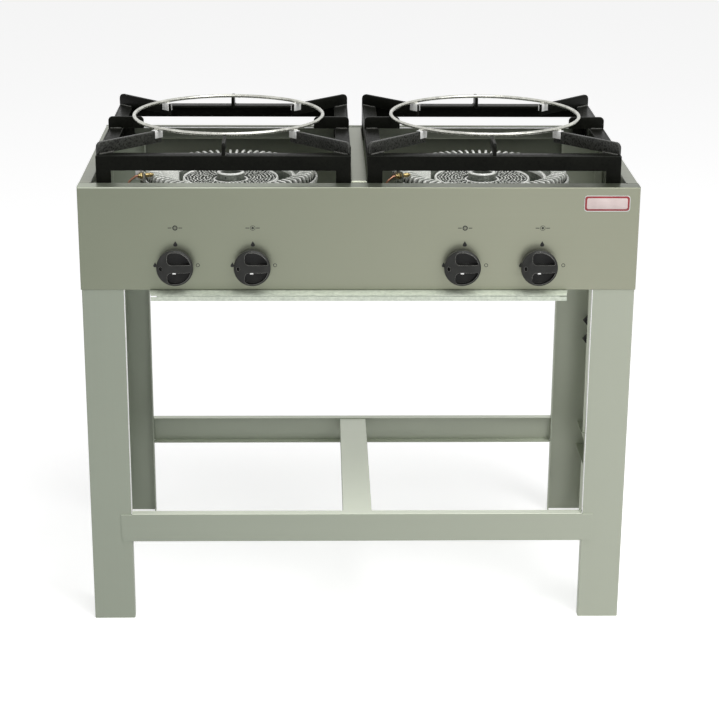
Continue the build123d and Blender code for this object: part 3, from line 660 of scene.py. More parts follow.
@dataclass(frozen=True)
class Finish:
    """A surface finish: colours, how it shines, its grain, and the light and shade painted into
    it.
    """

    name: str
    colour: Colour
    deep_colour: Colour
    metallic: float
    roughness: float
    roughness_swing: float = 0.08
    grain_scale: float = 400.0
    stretch: Point = (1.0, 1.0, 1.0)
    grain_height: float = 0.00002
    grain_tone: float = 0.3
    cloud_scale: float = 6.0
    # The fields from here to side_amount paint light and shade into the colour: highlights on
    # edges, on a fold line and on upward faces, shade in sheltered places, and light that grows
    # towards one side.
    edge_colour: Colour | None = None
    edge_amount: float = 0.0
    cavity_colour: Colour | None = None
    cavity_reach: float = 0.006
    fold_height: float | None = None
    fold_width: float = 0.0018
    fold_colour: Colour = (0.46, 0.49, 0.40)
    top_colour: Colour | None = None
    far_top_colour: Colour | None = None
    side_colour: Colour | None = None
    side_end: float = 0.45
    side_amount: float = 0.85
    coat: float = 0.0
    specular: float = 0.5

    def make(self, effects: dict[str, bpy.types.NodeTree]) -> bpy.types.Material:
        """Build the material.

        Args:
            effects: The shared node groups, by name.

        Returns:
            The finished material.
        """
        material = bpy.data.materials.new(self.name)
        material.use_nodes = True
        bench = NodeBench(material.node_tree)
        shader = material.node_tree.nodes["Principled BSDF"]
        bench.put(shader, Metallic=self.metallic, Coat_Weight=self.coat,
                  Specular_IOR_Level=self.specular)
        surface = bench.put(bench.add("ShaderNodeGroup", node_tree=effects["grain"]),
                            Scale=self.grain_scale, Stretch=self.stretch,
                            Cloud_Scale=self.cloud_scale)
        grain, cloud = surface.outputs["Grain"], surface.outputs["Cloud"]
        blend = bench.maths("ADD", bench.maths("MULTIPLY", grain, self.grain_tone),
                            bench.maths("MULTIPLY", cloud, 1 - self.grain_tone))
        colour = bench.mix(bench.ramp(blend, low=0.35, high=0.65), self.deep_colour, self.colour)
        colour = self._paint_light_and_shade(bench, effects, colour)
        bench.join(colour, shader.inputs["Base Color"])
        gloss = bench.ramp(grain, low=0.3, high=0.7, to_low=self.roughness - self.roughness_swing,
                           to_high=self.roughness + self.roughness_swing)
        bench.join(gloss, shader.inputs["Roughness"])
        bump = bench.put(bench.add("ShaderNodeBump"), Strength=1.0, Distance=self.grain_height)
        bench.join(grain, bump.inputs["Height"])
        bench.join(bump.outputs["Normal"], shader.inputs["Normal"])
        return material

    def _paint_light_and_shade(self, bench: NodeBench, effects: dict[str, bpy.types.NodeTree],
                 colour: bpy.types.NodeSocket) -> bpy.types.NodeSocket:
        """Paint light and shade into the colour: side light, edge, fold and top highlights, and
        shade in sheltered places.

        Args:
            bench: The bench of the material.
            effects: The shared node groups, by name.
            colour: The plain colour.

        Returns:
            The changed colour.
        """
        if self.side_colour or self.top_colour or self.fold_height:
            masks = bench.put(bench.add("ShaderNodeGroup", node_tree=effects["places"]),
                              Height=self.fold_height or 0.0, Width=self.fold_width,
                              Side_End=self.side_end)
            fold, top, side = (masks.outputs[name] for name in ("Fold", "Top", "Side"))
        # Painted light, growing towards the side end.
        if self.side_colour:
            colour = bench.mix(bench.maths("MULTIPLY", side, self.side_amount), colour,
                               self.side_colour)
        # Painted highlight along the edges.
        if self.edge_colour:
            painted_highlight = bench.put(bench.add("ShaderNodeGroup", node_tree=effects["edges"]),
                             Amount=self.edge_amount)
            colour = bench.mix(painted_highlight.outputs["Edge"], colour, self.edge_colour)
        # Painted shade in sheltered places.
        if self.cavity_colour:
            painted_shade = bench.put(bench.add("ShaderNodeGroup", node_tree=effects["cavities"]),
                             Reach=self.cavity_reach)
            colour = bench.mix(painted_shade.outputs["Cavity"], colour, self.cavity_colour)
        # Painted highlight along the fold line, fading towards the side end.
        if self.fold_height:
            lit = bench.maths("MULTIPLY", fold, bench.ramp(side, low=0.62, high=0.30))
            colour = bench.mix(lit, colour, self.fold_colour)
        # Painted light on upward faces, changing from side to side.
        if self.top_colour:
            far = self.far_top_colour or self.top_colour
            colour = bench.mix(top, colour, bench.mix(side, self.top_colour, far))
        return colour


# Satin steel of the body; its edge colour is a painted highlight along the edges.
SATIN_STEEL = Finish(
    "satin_steel", (0.272, 0.285, 0.224), (0.255, 0.267, 0.210), 0.75, 0.36,
    roughness_swing=0.05, grain_scale=260.0, stretch=(0.02, 1.0, 1.0), grain_height=0.000006,
    grain_tone=0.4, cloud_scale=3.0, edge_colour=(0.66, 0.70, 0.58), edge_amount=0.75)
# Apron: painted light, darker at the left and lighter at the right; a painted highlight along its
# top fold, fading to the right; painted light on its upward faces, lighter at the left and darker
# at the right; painted highlight on its edges.
APRON_STEEL = replace(
    SATIN_STEEL, name="apron_steel", colour=(0.222, 0.241, 0.180),
    deep_colour=(0.212, 0.231, 0.172), side_colour=(0.312, 0.320, 0.243), side_end=0.25,
    fold_height=0.7572, edge_amount=0.22, top_colour=(0.33, 0.36, 0.28),
    far_top_colour=(0.125, 0.137, 0.100))
# Panels round the bays and the pilot brackets: painted shade inside the bays, and painted
# highlight on the edges.
BAY_STEEL = replace(SATIN_STEEL, name="bay_steel", cavity_colour=(0.150, 0.162, 0.135),
                    cavity_reach=0.18)
# Legs: painted light, lighter towards the right, and painted highlight along the edges.
LEG_STEEL = Finish(
    "leg_steel", (0.318, 0.352, 0.283), (0.304, 0.336, 0.270), 0.25, 0.40,
    roughness_swing=0.05, grain_scale=260.0, stretch=(1.0, 1.0, 0.02), grain_height=0.000006,
    grain_tone=0.4, cloud_scale=3.0, edge_colour=(0.62, 0.66, 0.56), edge_amount=0.6,
    side_colour=(0.441, 0.468, 0.381))
# Rails: like the legs, lighter towards the right, with painted light on their upward faces and a
# little painted highlight on the edges.
RAIL_STEEL = replace(LEG_STEEL, name="rail_steel", stretch=(0.02, 1.0, 1.0), edge_amount=0.15,
                     top_colour=(0.74, 0.78, 0.66))
GALVANISED = Finish(
    "galvanised_sheet", (0.70, 0.75, 0.64), (0.52, 0.57, 0.48), 0.25, 0.44,
    grain_scale=160.0, grain_height=0.00002, grain_tone=0.7, cloud_scale=30.0)
# Cast burner body: a darker copy of the cast aluminium as painted shade, with painted highlights
# on its edges and painted shade in its gaps.
CAST_BODY = Finish(
    "cast_aluminium", (0.24, 0.26, 0.22), (0.065, 0.072, 0.060), 0.35, 0.34,
    grain_scale=260.0, grain_height=0.00018, grain_tone=0.6, cloud_scale=55.0,
    edge_colour=(0.98, 0.99, 0.95), edge_amount=1.0, cavity_colour=(0.012, 0.015, 0.011),
    cavity_reach=0.011)
# Crests and teeth: a near-white, lit copy of the same cast aluminium as painted highlight, with
# painted shade in the gaps.
CAST_CREST = Finish(
    "bright_cast_crest", (1.0, 1.0, 0.96), (0.50, 0.54, 0.47), 0.12, 0.26,
    grain_scale=420.0, grain_height=0.00012, grain_tone=0.6, cloud_scale=70.0,
    cavity_colour=(0.012, 0.015, 0.011), cavity_reach=0.009)
# Rims and lug: the lit copy again, as painted highlight.
CAST_RIM = replace(CAST_CREST, name="bright_cast_rim", deep_colour=(0.86, 0.89, 0.83),
                   cavity_reach=0.003)
# Black grate enamel, with painted highlight along its edges.
BLACK_ENAMEL = Finish(
    "black_grate_enamel", (0.0085, 0.0090, 0.0070), (0.0050, 0.0053, 0.0042), 0.0, 0.36,
    roughness_swing=0.10, grain_scale=220.0, grain_height=0.00012, grain_tone=0.6,
    cloud_scale=25.0, edge_colour=(0.060, 0.062, 0.053), edge_amount=0.6, specular=0.05)
# Front corner fingers and welds: lighter enamel as painted sheen, with painted highlights on the
# edges.
PAINTED_SHEEN_ENAMEL = Finish(
    "finger_enamel_painted_sheen", (0.050, 0.052, 0.045), (0.007, 0.007, 0.006), 0.0, 0.32,
    roughness_swing=0.14, grain_scale=330.0, grain_height=0.0006, grain_tone=0.7,
    cloud_scale=45.0, edge_colour=(0.20, 0.20, 0.18), edge_amount=0.7, specular=0.30)
RING_WIRE = Finish(
    "ring_wire_steel", (0.70, 0.70, 0.64), (0.42, 0.42, 0.38), 0.9, 0.25,
    grain_scale=160.0, grain_height=0.00002, grain_tone=0.4, cloud_scale=45.0)
# Near-white sheet steel: its whiteness is painted highlight, on the ring clips, the first pilot
# cheek and the fold strips.
CLIP_STEEL = Finish(
    "clip_sheet_steel", (0.98, 0.98, 0.97), (0.93, 0.93, 0.91), 0.10, 0.30,
    roughness_swing=0.05, grain_scale=260.0, grain_height=0.00003, grain_tone=0.5,
    cloud_scale=60.0)
# Knob plastic, with painted highlights on its edges and painted shade in its pockets.
KNOB_PLASTIC = Finish(
    "knob_plastic", (0.0300, 0.0305, 0.0280), (0.0180, 0.0185, 0.0168), 0.0, 0.33,
    roughness_swing=0.05, grain_scale=1400.0, grain_height=0.00002, grain_tone=0.5,
    cloud_scale=80.0, edge_colour=(0.24, 0.24, 0.22), edge_amount=1.0,
    cavity_colour=(0.0035, 0.0035, 0.0030), cavity_reach=0.016, specular=0.22)
BRASS = Finish("turned_brass", (0.52, 0.41, 0.18), (0.24, 0.18, 0.08), 0.92, 0.28,
               grain_scale=600.0, grain_height=0.00002, cloud_scale=90.0)
COPPER = Finish("copper_tube", (0.48, 0.25, 0.16), (0.26, 0.13, 0.085), 0.92, 0.33,
                grain_scale=500.0, grain_height=0.00002, cloud_scale=70.0)
BRIGHT_STEEL = Finish("bright_steel", (0.62, 0.62, 0.60), (0.48, 0.48, 0.46), 0.95, 0.28,
                      grain_scale=500.0, grain_height=0.00002, cloud_scale=60.0)
PRINT_BLACK = Finish("printed_mark", (0.006, 0.006, 0.005), (0.004, 0.004, 0.004), 0.0, 0.6,
                     grain_scale=900.0, grain_height=0.00001, cloud_scale=60.0)
MARK_WHITE = replace(PRINT_BLACK, name="painted_mark", colour=(0.97, 0.97, 0.95),
                     deep_colour=(0.93, 0.93, 0.91), roughness=0.3)
BADGE_RED = replace(PRINT_BLACK, name="badge_red_edge", colour=(0.32, 0.018, 0.024),
                    deep_colour=(0.24, 0.012, 0.016), roughness=0.35, coat=0.3)
BADGE_FIELD = replace(BADGE_RED, name="badge_pale_field", colour=(0.74, 0.62, 0.60),
                      deep_colour=(0.66, 0.54, 0.52))
BADGE_PLATE = Finish(
    "badge_plate", (0.62, 0.64, 0.62), (0.52, 0.54, 0.52), 0.8, 0.3, grain_scale=300.0,
    stretch=(0.03, 1.0, 1.0), grain_height=0.00001, grain_tone=0.7, cloud_scale=30.0)
BLACK_CLIP = Finish("black_clip_plastic", (0.02, 0.02, 0.02), (0.012, 0.012, 0.012), 0.0, 0.45,
                    grain_scale=800.0, grain_height=0.00003, cloud_scale=60.0)

SLOT_FINISH = {
    "body_paint": SATIN_STEEL,
    "leg_paint": LEG_STEEL,
    "galvanised": GALVANISED,
    "cast_burner": CAST_BODY,
    "grate_black": BLACK_ENAMEL,
    "ring_wire": RING_WIRE,
    "knob_plastic": KNOB_PLASTIC,
    "brass": BRASS,
    "copper": COPPER,
    "steel": BRIGHT_STEEL,
    "clip_black": BLACK_CLIP,
}
# Nodes that don't take the finish of their slot.
NODE_FINISH = {
    "front_panel": APRON_STEEL,
    "rear_panel": BAY_STEEL,
    "left_side_panel": BAY_STEEL,
    "right_side_panel": BAY_STEEL,
    "pilot_brackets": BAY_STEEL,
    "front_rail": RAIL_STEEL,
    "rear_rail": RAIL_STEEL,
    "centre_rail": RAIL_STEEL,
}


class FinishBook:
    """Builds each finish once and hands out its material."""

    def __init__(self) -> None:
        """Build the shared effect groups."""
        self.effects = {"grain": grain_group(), "edges": edge_group(),
                        "cavities": cavity_group(), "places": place_group()}
        self.made: dict[str, bpy.types.Material] = {}

    def get(self, finish: Finish) -> bpy.types.Material:
        """Return the material of a finish, building it on first use.

        Args:
            finish: The finish.

        Returns:
            Its material.
        """
        if finish.name not in self.made:
            self.made[finish.name] = finish.make(self.effects)
        return self.made[finish.name]

    def dress_frame(self) -> None:
        """Give every node of the frame its own finish, or else that of its slot."""
        slots = {part["node"]: part["material_slot"] for part in frame["record"]["subparts"]}
        for node, piece in frame["nodes"].items():
            piece.data.materials.clear()
            piece.data.materials.append(self.get(NODE_FINISH.get(node, SLOT_FINISH[slots[node]])))


# Studio


@dataclass
class PhotoCamera:
    """Camera that stands where the photograph was taken from, in metres and radians."""

    place: Point = (-0.0681, -3.2526, 1.4993)
    yaw: float = 0.0231
    pitch: float = 0.3293
    roll: float = 0.0064
    focal_pixels: float = 1942.9
    frame_pixels: float = 719.0
    sensor_width: float = 36.0
    nearest: float = 0.05
    farthest: float = 60.0

    def build(self) -> None:
        """Create the camera and make it the scene's own."""
        data = bpy.data.cameras.new("photo_camera")
        data.sensor_width = self.sensor_width
        data.lens = self.focal_pixels / self.frame_pixels * self.sensor_width
        data.clip_start, data.clip_end = self.nearest, self.farthest
        camera = link_object("photo_camera", data)
        turn = (Matrix.Rotation(-self.yaw, 4, "Z") @ UPRIGHT
                @ Matrix.Rotation(-self.pitch, 4, "X") @ Matrix.Rotation(self.roll, 4, "Z"))
        camera.matrix_world = Matrix.Translation(self.place) @ turn
        bpy.context.scene.camera = camera


@dataclass(frozen=True)
class Softbox:
    """A square area lamp that points at a spot on the stove."""

    name: str
    place: Point
    aim: Point
    size: float
    power: float

    def build(self) -> None:
        """Create the lamp."""
        data = bpy.data.lights.new(self.name, "AREA")
        data.size = self.size
        data.energy = self.power
        lamp = link_object(self.name, data)
        lamp.location = self.place
        way = Vector(self.aim) - Vector(self.place)
        lamp.rotation_euler = way.to_track_quat("-Z", "Y").to_euler()


@dataclass
class Studio:
    """Pale floor, white surroundings and soft lights."""

    floor_size: float = 30.0
    floor_colour: Colour = (0.80, 0.80, 0.80)
    floor_roughness: float = 0.9
    floor_glow: float = 0.62
    world_light: float = 0.34
    lamps: tuple[Softbox, ...] = (
        Softbox("key_softbox", (2.2, -2.6, 2.4), (0.0, 0.0, 0.55), 2.0, 40.0),
        Softbox("fill_softbox", (-2.6, -2.0, 1.6), (0.0, 0.0, 0.5), 2.0, 5.0),
        Softbox("top_softbox", (0.5, -1.1, 3.1), (0.0, 0.0, 0.6), 1.8, 46.0),
    )

    def build(self) -> None:
        """Create the floor, the world and the lamps."""
        self._floor()
        self._world()
        for lamp in self.lamps:
            lamp.build()

    def _seen(self, bench: NodeBench) -> bpy.types.NodeSocket:
        """Mask of rays that see the background itself or its mirror image.

        Args:
            bench: The bench to lay the nodes on.

        Returns:
            The mask.
        """
        path = bench.add("ShaderNodeLightPath")
        seen = bench.maths("ADD", path.outputs["Is Camera Ray"], path.outputs["Is Glossy Ray"])
        both = bench.maths("ADD", seen, path.outputs["Is Transmission Ray"])
        return bench.maths("MINIMUM", both, 1.0)

    def _floor(self) -> None:
        """Create the floor, whose own glow makes it pale while it keeps the shadow."""
        half = self.floor_size / 2
        mesh = bpy.data.meshes.new("studio_floor")
        mesh.from_pydata([(-half, -half, 0), (half, -half, 0), (half, half, 0), (-half, half, 0)],
                         [], [(0, 1, 2, 3)])
        floor = link_object("studio_floor", mesh)
        material = bpy.data.materials.new("studio_floor")
        material.use_nodes = True
        bench = NodeBench(material.node_tree)
        shader = material.node_tree.nodes["Principled BSDF"]
        bench.put(shader, Base_Color=(*self.floor_colour, 1.0), Roughness=self.floor_roughness,
                  Specular_IOR_Level=0.0, Emission_Color=(1.0, 1.0, 1.0, 1.0))
        glow = bench.maths("MULTIPLY", self._seen(bench), self.floor_glow)
        bench.join(glow, shader.inputs["Emission Strength"])
        mesh.materials.append(material)

    def _world(self) -> None:
        """Create the surroundings: white where seen, softer as light."""
        world = bpy.data.worlds.new("studio_world")
        world.use_nodes = True
        bench = NodeBench(world.node_tree)
        back = bench.put(world.node_tree.nodes["Background"], Color=(1.0, 1.0, 1.0, 1.0))
        strength = bench.ramp(self._seen(bench), 0.0, 1.0, self.world_light, 1.0)
        bench.join(strength, back.inputs["Strength"])
        bpy.context.scene.world = world


# Knobs


@dataclass
class Knob:
    """A gas knob: domed rim, two scooped pockets beside the grip bar, and its marks."""

    name: str
    back_radius: float = 0.0282
    rim_radius: float = 0.0297
    rim_depth: float = 0.0146
    depth: float = 0.021
    chamfer: float = 0.0012
    dome_start: float = 0.0020
    dome_reach: float = 0.0125
    dome_steps: tuple[float, ...] = (0.15, 0.3, 0.45, 0.6, 0.8, 1.0)
    grip: float = 0.0130
    pocket_radius: float = 0.0262
    pocket_left: float = -0.0118
    pocket_round: float = 0.0070
    pocket_depth: float = 0.0125
    pocket_edge: float = 0.0008
    dimple_spot: float = -0.0222
    dimple_radius: float = 0.0034
    dimple_rise: float = 0.0022
    dimple_shape: Point = (0.75, 1.1, 0.9)
    edge: float = 0.0004
    steps: int = 96

    def __post_init__(self) -> None:
        """Find the knob's place in the frame."""
        low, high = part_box(f"knob_{self.name}")
        middle = ((low.x + high.x) / 2, high.y, (low.z + high.z) / 2)
        self.place = Matrix.Translation(middle) @ UPRIGHT

    def pocket(self, way: int) -> bpy.types.Object:
        """Make the cutter of one pocket.

        Args:
            way: 1 for the pocket above the grip, -1 for the one below.

        Returns:
            A solid in the knob's own frame.
        """
        low, turn, reach = self.grip / 2, self.pocket_round, self.pocket_radius
        left = self.pocket_left + turn
        outline = on_circle(reach, arc(math.asin(low / reach), math.radians(96), 20))
        crown = math.sqrt(reach ** 2 - 0.00001) - turn
        outline += on_circle(turn, arc(math.radians(100), HALF_TURN, 10), (left, crown))
        outline += on_circle(turn, arc(HALF_TURN, 3 * QUARTER, 10), (left, low + turn))
        bm = bmesh.new()
        lift = Matrix.Translation((0, 0, self.depth - self.pocket_depth))
        flip = Matrix.Scale(way, 4, (0, 1, 0))
        add_prism(bm, outline, self.pocket_depth * 2, flip @ lift, self.pocket_edge)
        return link_object("pocket", mesh_from(bm, "pocket"))

    def dimple(self) -> bpy.types.Object:
        """Make the cutter of the small oval dimple at the grip's end.

        Returns:
            A solid in the knob's own frame.
        """
        bm = bmesh.new()
        bmesh.ops.create_uvsphere(bm, u_segments=20, v_segments=12, radius=self.dimple_radius)
        spot = Matrix.Translation((self.dimple_spot, 0, self.depth - self.dimple_rise))
        squash = Matrix.Diagonal((*self.dimple_shape, 1))
        bmesh.ops.transform(bm, matrix=spot @ squash, verts=bm.verts)
        return link_object("dimple", mesh_from(bm, "dimple"))

    def body(self) -> bpy.types.Mesh:
        """Turn the body with its domed front, then scoop the pockets out of it.

        Returns:
            The body, in its place.
        """
        r, b, z = self.rim_radius, self.back_radius, self.rim_depth
        shoulder, crown = r - self.chamfer, z + self.dome_start
        profile = [(0, 0), (b - 0.001, 0), (b, 0.0008), (b + 0.0003, 0.0034),
                   (b + 0.0001, 0.0040), (b + 0.0005, 0.0046), (r - 0.0002, z - 0.0006), (r, z),
                   (r - 0.0003, z + 0.0010), (shoulder, crown)]
        profile += [(shoulder - self.dome_reach * t,
                     crown + (self.depth - z - self.dome_start) * math.sin(t * QUARTER))
                    for t in self.dome_steps]
        profile.append((0, self.depth))
        bm = bmesh.new()
        add_lathe(bm, profile, self.steps, Matrix.Identity(4))
        knob = link_object("turned", mesh_from(bm, "turned"))
        cut_away(knob, [self.pocket(1), self.pocket(-1), self.dimple()])
        round_edges(knob, self.edge, 2, 28)
        mesh = knob.data
        bpy.data.objects.remove(knob)
        mesh.transform(self.place)
        return mesh

    def small_part(self, name: str, low: Point, high: Point, edge: float) -> bpy.types.Mesh:
        """Make a small block on the knob's face.

        Args:
            name: Name of the mesh.
            low: Its lowest corner, in the knob's own frame.
            high: Its highest corner.
            edge: Edge rounding.

        Returns:
            The block, in its place.
        """
        bm = bmesh.new()
        add_box(bm, low, high, edge)
        bmesh.ops.transform(bm, matrix=self.place, verts=bm.verts)
        return mesh_from(bm, name)

    def slit(self) -> bpy.types.Mesh:
        """Make the white tab on the grip's lower edge.

        Returns:
            The tab, in its place.
        """
        edge, face = -self.grip / 2, self.depth + 0.0002
        return self.small_part("knob_slit", (-0.0033, edge - 0.0018, face - 0.0030),
                               (0.0019, edge + 0.0004, face), self.edge / 2)

    def pip(self) -> bpy.types.Mesh:
        """Make the small raised pip at twelve o'clock on the rim.

        Returns:
            The pip, in its place.
        """
        y = self.rim_radius - 0.0022
        return self.small_part("knob_pip", (-0.0009, y - 0.0022, self.rim_depth - 0.001),
                               (0.0009, y + 0.0010, self.rim_depth + 0.0027), self.edge)

    def build(self, book: FinishBook) -> None:
        """Create the knob and its marks.

        Args:
            book: Hands out the finishes.
        """
        body = f"knob_{self.name}"
        knob = new_piece(f"grip_knob_{self.name}", self.body(), body, book.get(KNOB_PLASTIC))
        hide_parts(body)
        for name, mesh, look in (("knob_pip", self.pip(), KNOB_PLASTIC),
                                 ("knob_slit", self.slit(), MARK_WHITE)):
            new_piece(f"{name}_{self.name}", mesh, body, book.get(look))


# Burners


@dataclass
class Burner:
    """What the two burners of a bay share: their centre, seat and mixing tube."""

    bay: Bay
    ring: Ring
    tube_radius: float = 0.0218
    tube_wall: float = 0.0035
    tube_steps: int = 32
    mouth_depth: float = 0.030
    mouth_collar: float = 0.0008
    bore_share: float = 0.9
    elbow: float = 0.030
    tube_seat: float = 0.007

    def __post_init__(self) -> None:
        """Find the burner's place in the frame."""
        low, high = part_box(f"outer_burner_{self.bay.value}")
        radius = (high.x - low.x) / 2
        self.centre = Vector(((low.x + high.x) / 2, high.y - radius,
                              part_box("burner_bar_front")[1].z))
        self.place = Matrix.Translation(self.centre)
        gate_low, gate_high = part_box(f"air_shutter_{self.bay.value}_{self.ring.value}")
        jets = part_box("injectors")
        self.node = f"{self.ring.value}_burner_{self.bay.value}"
        self.mouth = Vector(((gate_low.x + gate_high.x) / 2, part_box(self.node)[0].y,
                             (jets[0].z + jets[1].z) / 2))

    def add_mixer(self, bm: bmesh.types.BMesh, port_y: float) -> None:
        """Add the mixing tube, from its open mouth to its elbow under the burner.

        Args:
            bm: The bmesh to add to.
            port_y: Where the tube turns up, along Y.
        """
        start = self.mouth + Vector((0, self.mouth_depth, 0))
        knee = Vector((self.mouth.x, port_y, self.mouth.z))
        top = Vector((self.mouth.x, port_y, self.centre.z + self.tube_seat))
        path = rounded_path([start, knee, top], self.elbow, 10)
        add_tube(bm, path, self.tube_radius, self.tube_steps)
        r, bore = self.tube_radius, self.tube_radius - self.tube_wall
        lip, end = r + self.mouth_collar, self.bore_share * self.mouth_depth
        profile = [(0, end), (bore, end), (bore, 0.002), (bore + 0.001, 0.0), (r, 0.0),
                   (lip, 0.001), (lip, 0.005), (r, 0.006), (r, self.mouth_depth),
                   (0, self.mouth_depth)]
        face = Matrix.Translation(self.mouth) @ Matrix.Rotation(-QUARTER, 4, "X")
        add_lathe(bm, profile, self.tube_steps, face)
        half_bore = on_circle(bore, arc(0, HALF_TURN, self.tube_steps // 2))
        gate = Matrix.Translation(self.mouth + Vector((0, 0.0045, 0))) @ UPRIGHT
        add_prism(bm, half_bore, 0.004, gate)

    def show(self, book: FinishBook, title: str,
             parts: Sequence[tuple[str, bmesh.types.BMesh, Finish]]) -> None:
        """Put the burner's castings into the scene; the first one replaces the node.

        Args:
            book: Hands out the finishes.
            title: What the pieces' names begin with.
            parts: Name, mesh and finish of each piece.
        """
        for number, (name, bm, look) in enumerate(parts):
            piece = new_piece(f"{title}_{name}_{self.bay.value}", mesh_from(bm, name), "stand",
                              book.get(look))
            if number == 0:
                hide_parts(self.node)


@dataclass
class OuterBurner(Burner):
    """Cast ring burner: shouldered ring, a crown of ribs, a lug and its mixing tube."""

    ring: Ring = Ring.OUTER
    section: tuple[Spot, ...] = (
        (0.105, 0), (0.1495, 0), (0.1493, 0.004), (0.1480, 0.0235), (0.1476, 0.0254),
        (0.1467, 0.0262), (0.1452, 0.0262), (0.1441, 0.0258), (0.1433, 0.0262),
        (0.1426, 0.0305), (0.1412, 0.0332), (0.1390, 0.0344), (0.1222, 0.0344),
        (0.1203, 0.0336), (0.1188, 0.0312), (0.1178, 0.0292), (0.1080, 0.0272),
        (0.1062, 0.0262), (0.1050, 0.0242))
    outer_rim: tuple[Spot, ...] = (
        (0.1470, 0.0225), (0.1497, 0.0225), (0.1495, 0.0268), (0.1484, 0.0290),
        (0.1468, 0.0294), (0.1454, 0.0284), (0.1450, 0.0262))
    inner_rim: tuple[Spot, ...] = (
        (0.1046, 0.0225), (0.1092, 0.0225), (0.1110, 0.0268), (0.1106, 0.0286),
        (0.1072, 0.0300), (0.1054, 0.0290), (0.1046, 0.0266))
    ring_steps: int = 168
    rim_steps: int = 144
    rib_inner: float = 0.1185
    rib_outer: float = 0.1448
    rib_width: float = 0.0044
    rib_edge: float = 0.0011
    rib_count: int = 72
    rib_foot: float = 0.026
    crest: float = 0.0425
    lug_reach: float = 0.088
    lug_width: float = 0.040
    lug_height: float = 0.0430
    lug_root: float = -0.1435
    lug_edge: float = 0.0022

    def add_ribs(self, bm: bmesh.types.BMesh) -> None:
        """Add the crown of ribs between the flame ports.

        Args:
            bm: The bmesh to add to.
        """
        a, b, top = self.rib_inner, self.rib_outer, self.crest
        outline = [(a, self.rib_foot), (a, top - 0.0042), (a + 0.0022, top - 0.0008),
                   (a + 0.0048, top), (b - 0.0062, top), (b - 0.0026, top - 0.0012),
                   (b - 0.0004, top - 0.0046), (b, self.rib_foot - 0.001)]
        rib = bmesh.new()
        upright = Matrix.Translation((0, self.rib_width / 2, 0)) @ UPRIGHT
        add_prism(rib, outline, self.rib_width, upright, self.rib_edge, 3)
        step = TURN / self.rib_count
        add_copies(bm, mesh_from(rib, "rib"),
                   [self.place @ Matrix.Rotation(step * (i + 0.5), 4, "Z")
                    for i in range(self.rib_count)])

    def add_lug(self, bm: bmesh.types.BMesh) -> None:
        """Add the flat lug inside the ring, with its rounded end.

        Args:
            bm: The bmesh to add to.
        """
        half, root = self.lug_width / 2, self.lug_root
        tip = (-self.lug_reach - half, 0.0)
        outline = [(root, -half), *on_circle(half, arc(-QUARTER, QUARTER, 14), tip), (root, half)]
        add_prism(bm, outline, self.lug_height, self.place, self.lug_edge, 3)

    def build(self, book: FinishBook) -> None:
        """Create the ring burner, and its crest, rims and lug in bright copies of its finish, as
        painted highlight.

        Args:
            book: Hands out the finishes.
        """
        body, crest, rims = bmesh.new(), bmesh.new(), bmesh.new()
        add_lathe(body, self.section, self.ring_steps, self.place)
        self.add_ribs(crest)
        for rim in (self.outer_rim, self.inner_rim):
            add_lathe(rims, rim, self.rim_steps, self.place)
        self.add_lug(rims)
        middle = (self.rib_inner + self.rib_outer) / 2
        offset = self.mouth.x - self.centre.x
        self.add_mixer(body, self.centre.y - math.sqrt(middle ** 2 - offset ** 2))
        self.show(book, "ring", [("burner", body, CAST_BODY), ("crest", crest, CAST_CREST),
                                 ("rims", rims, CAST_RIM)])


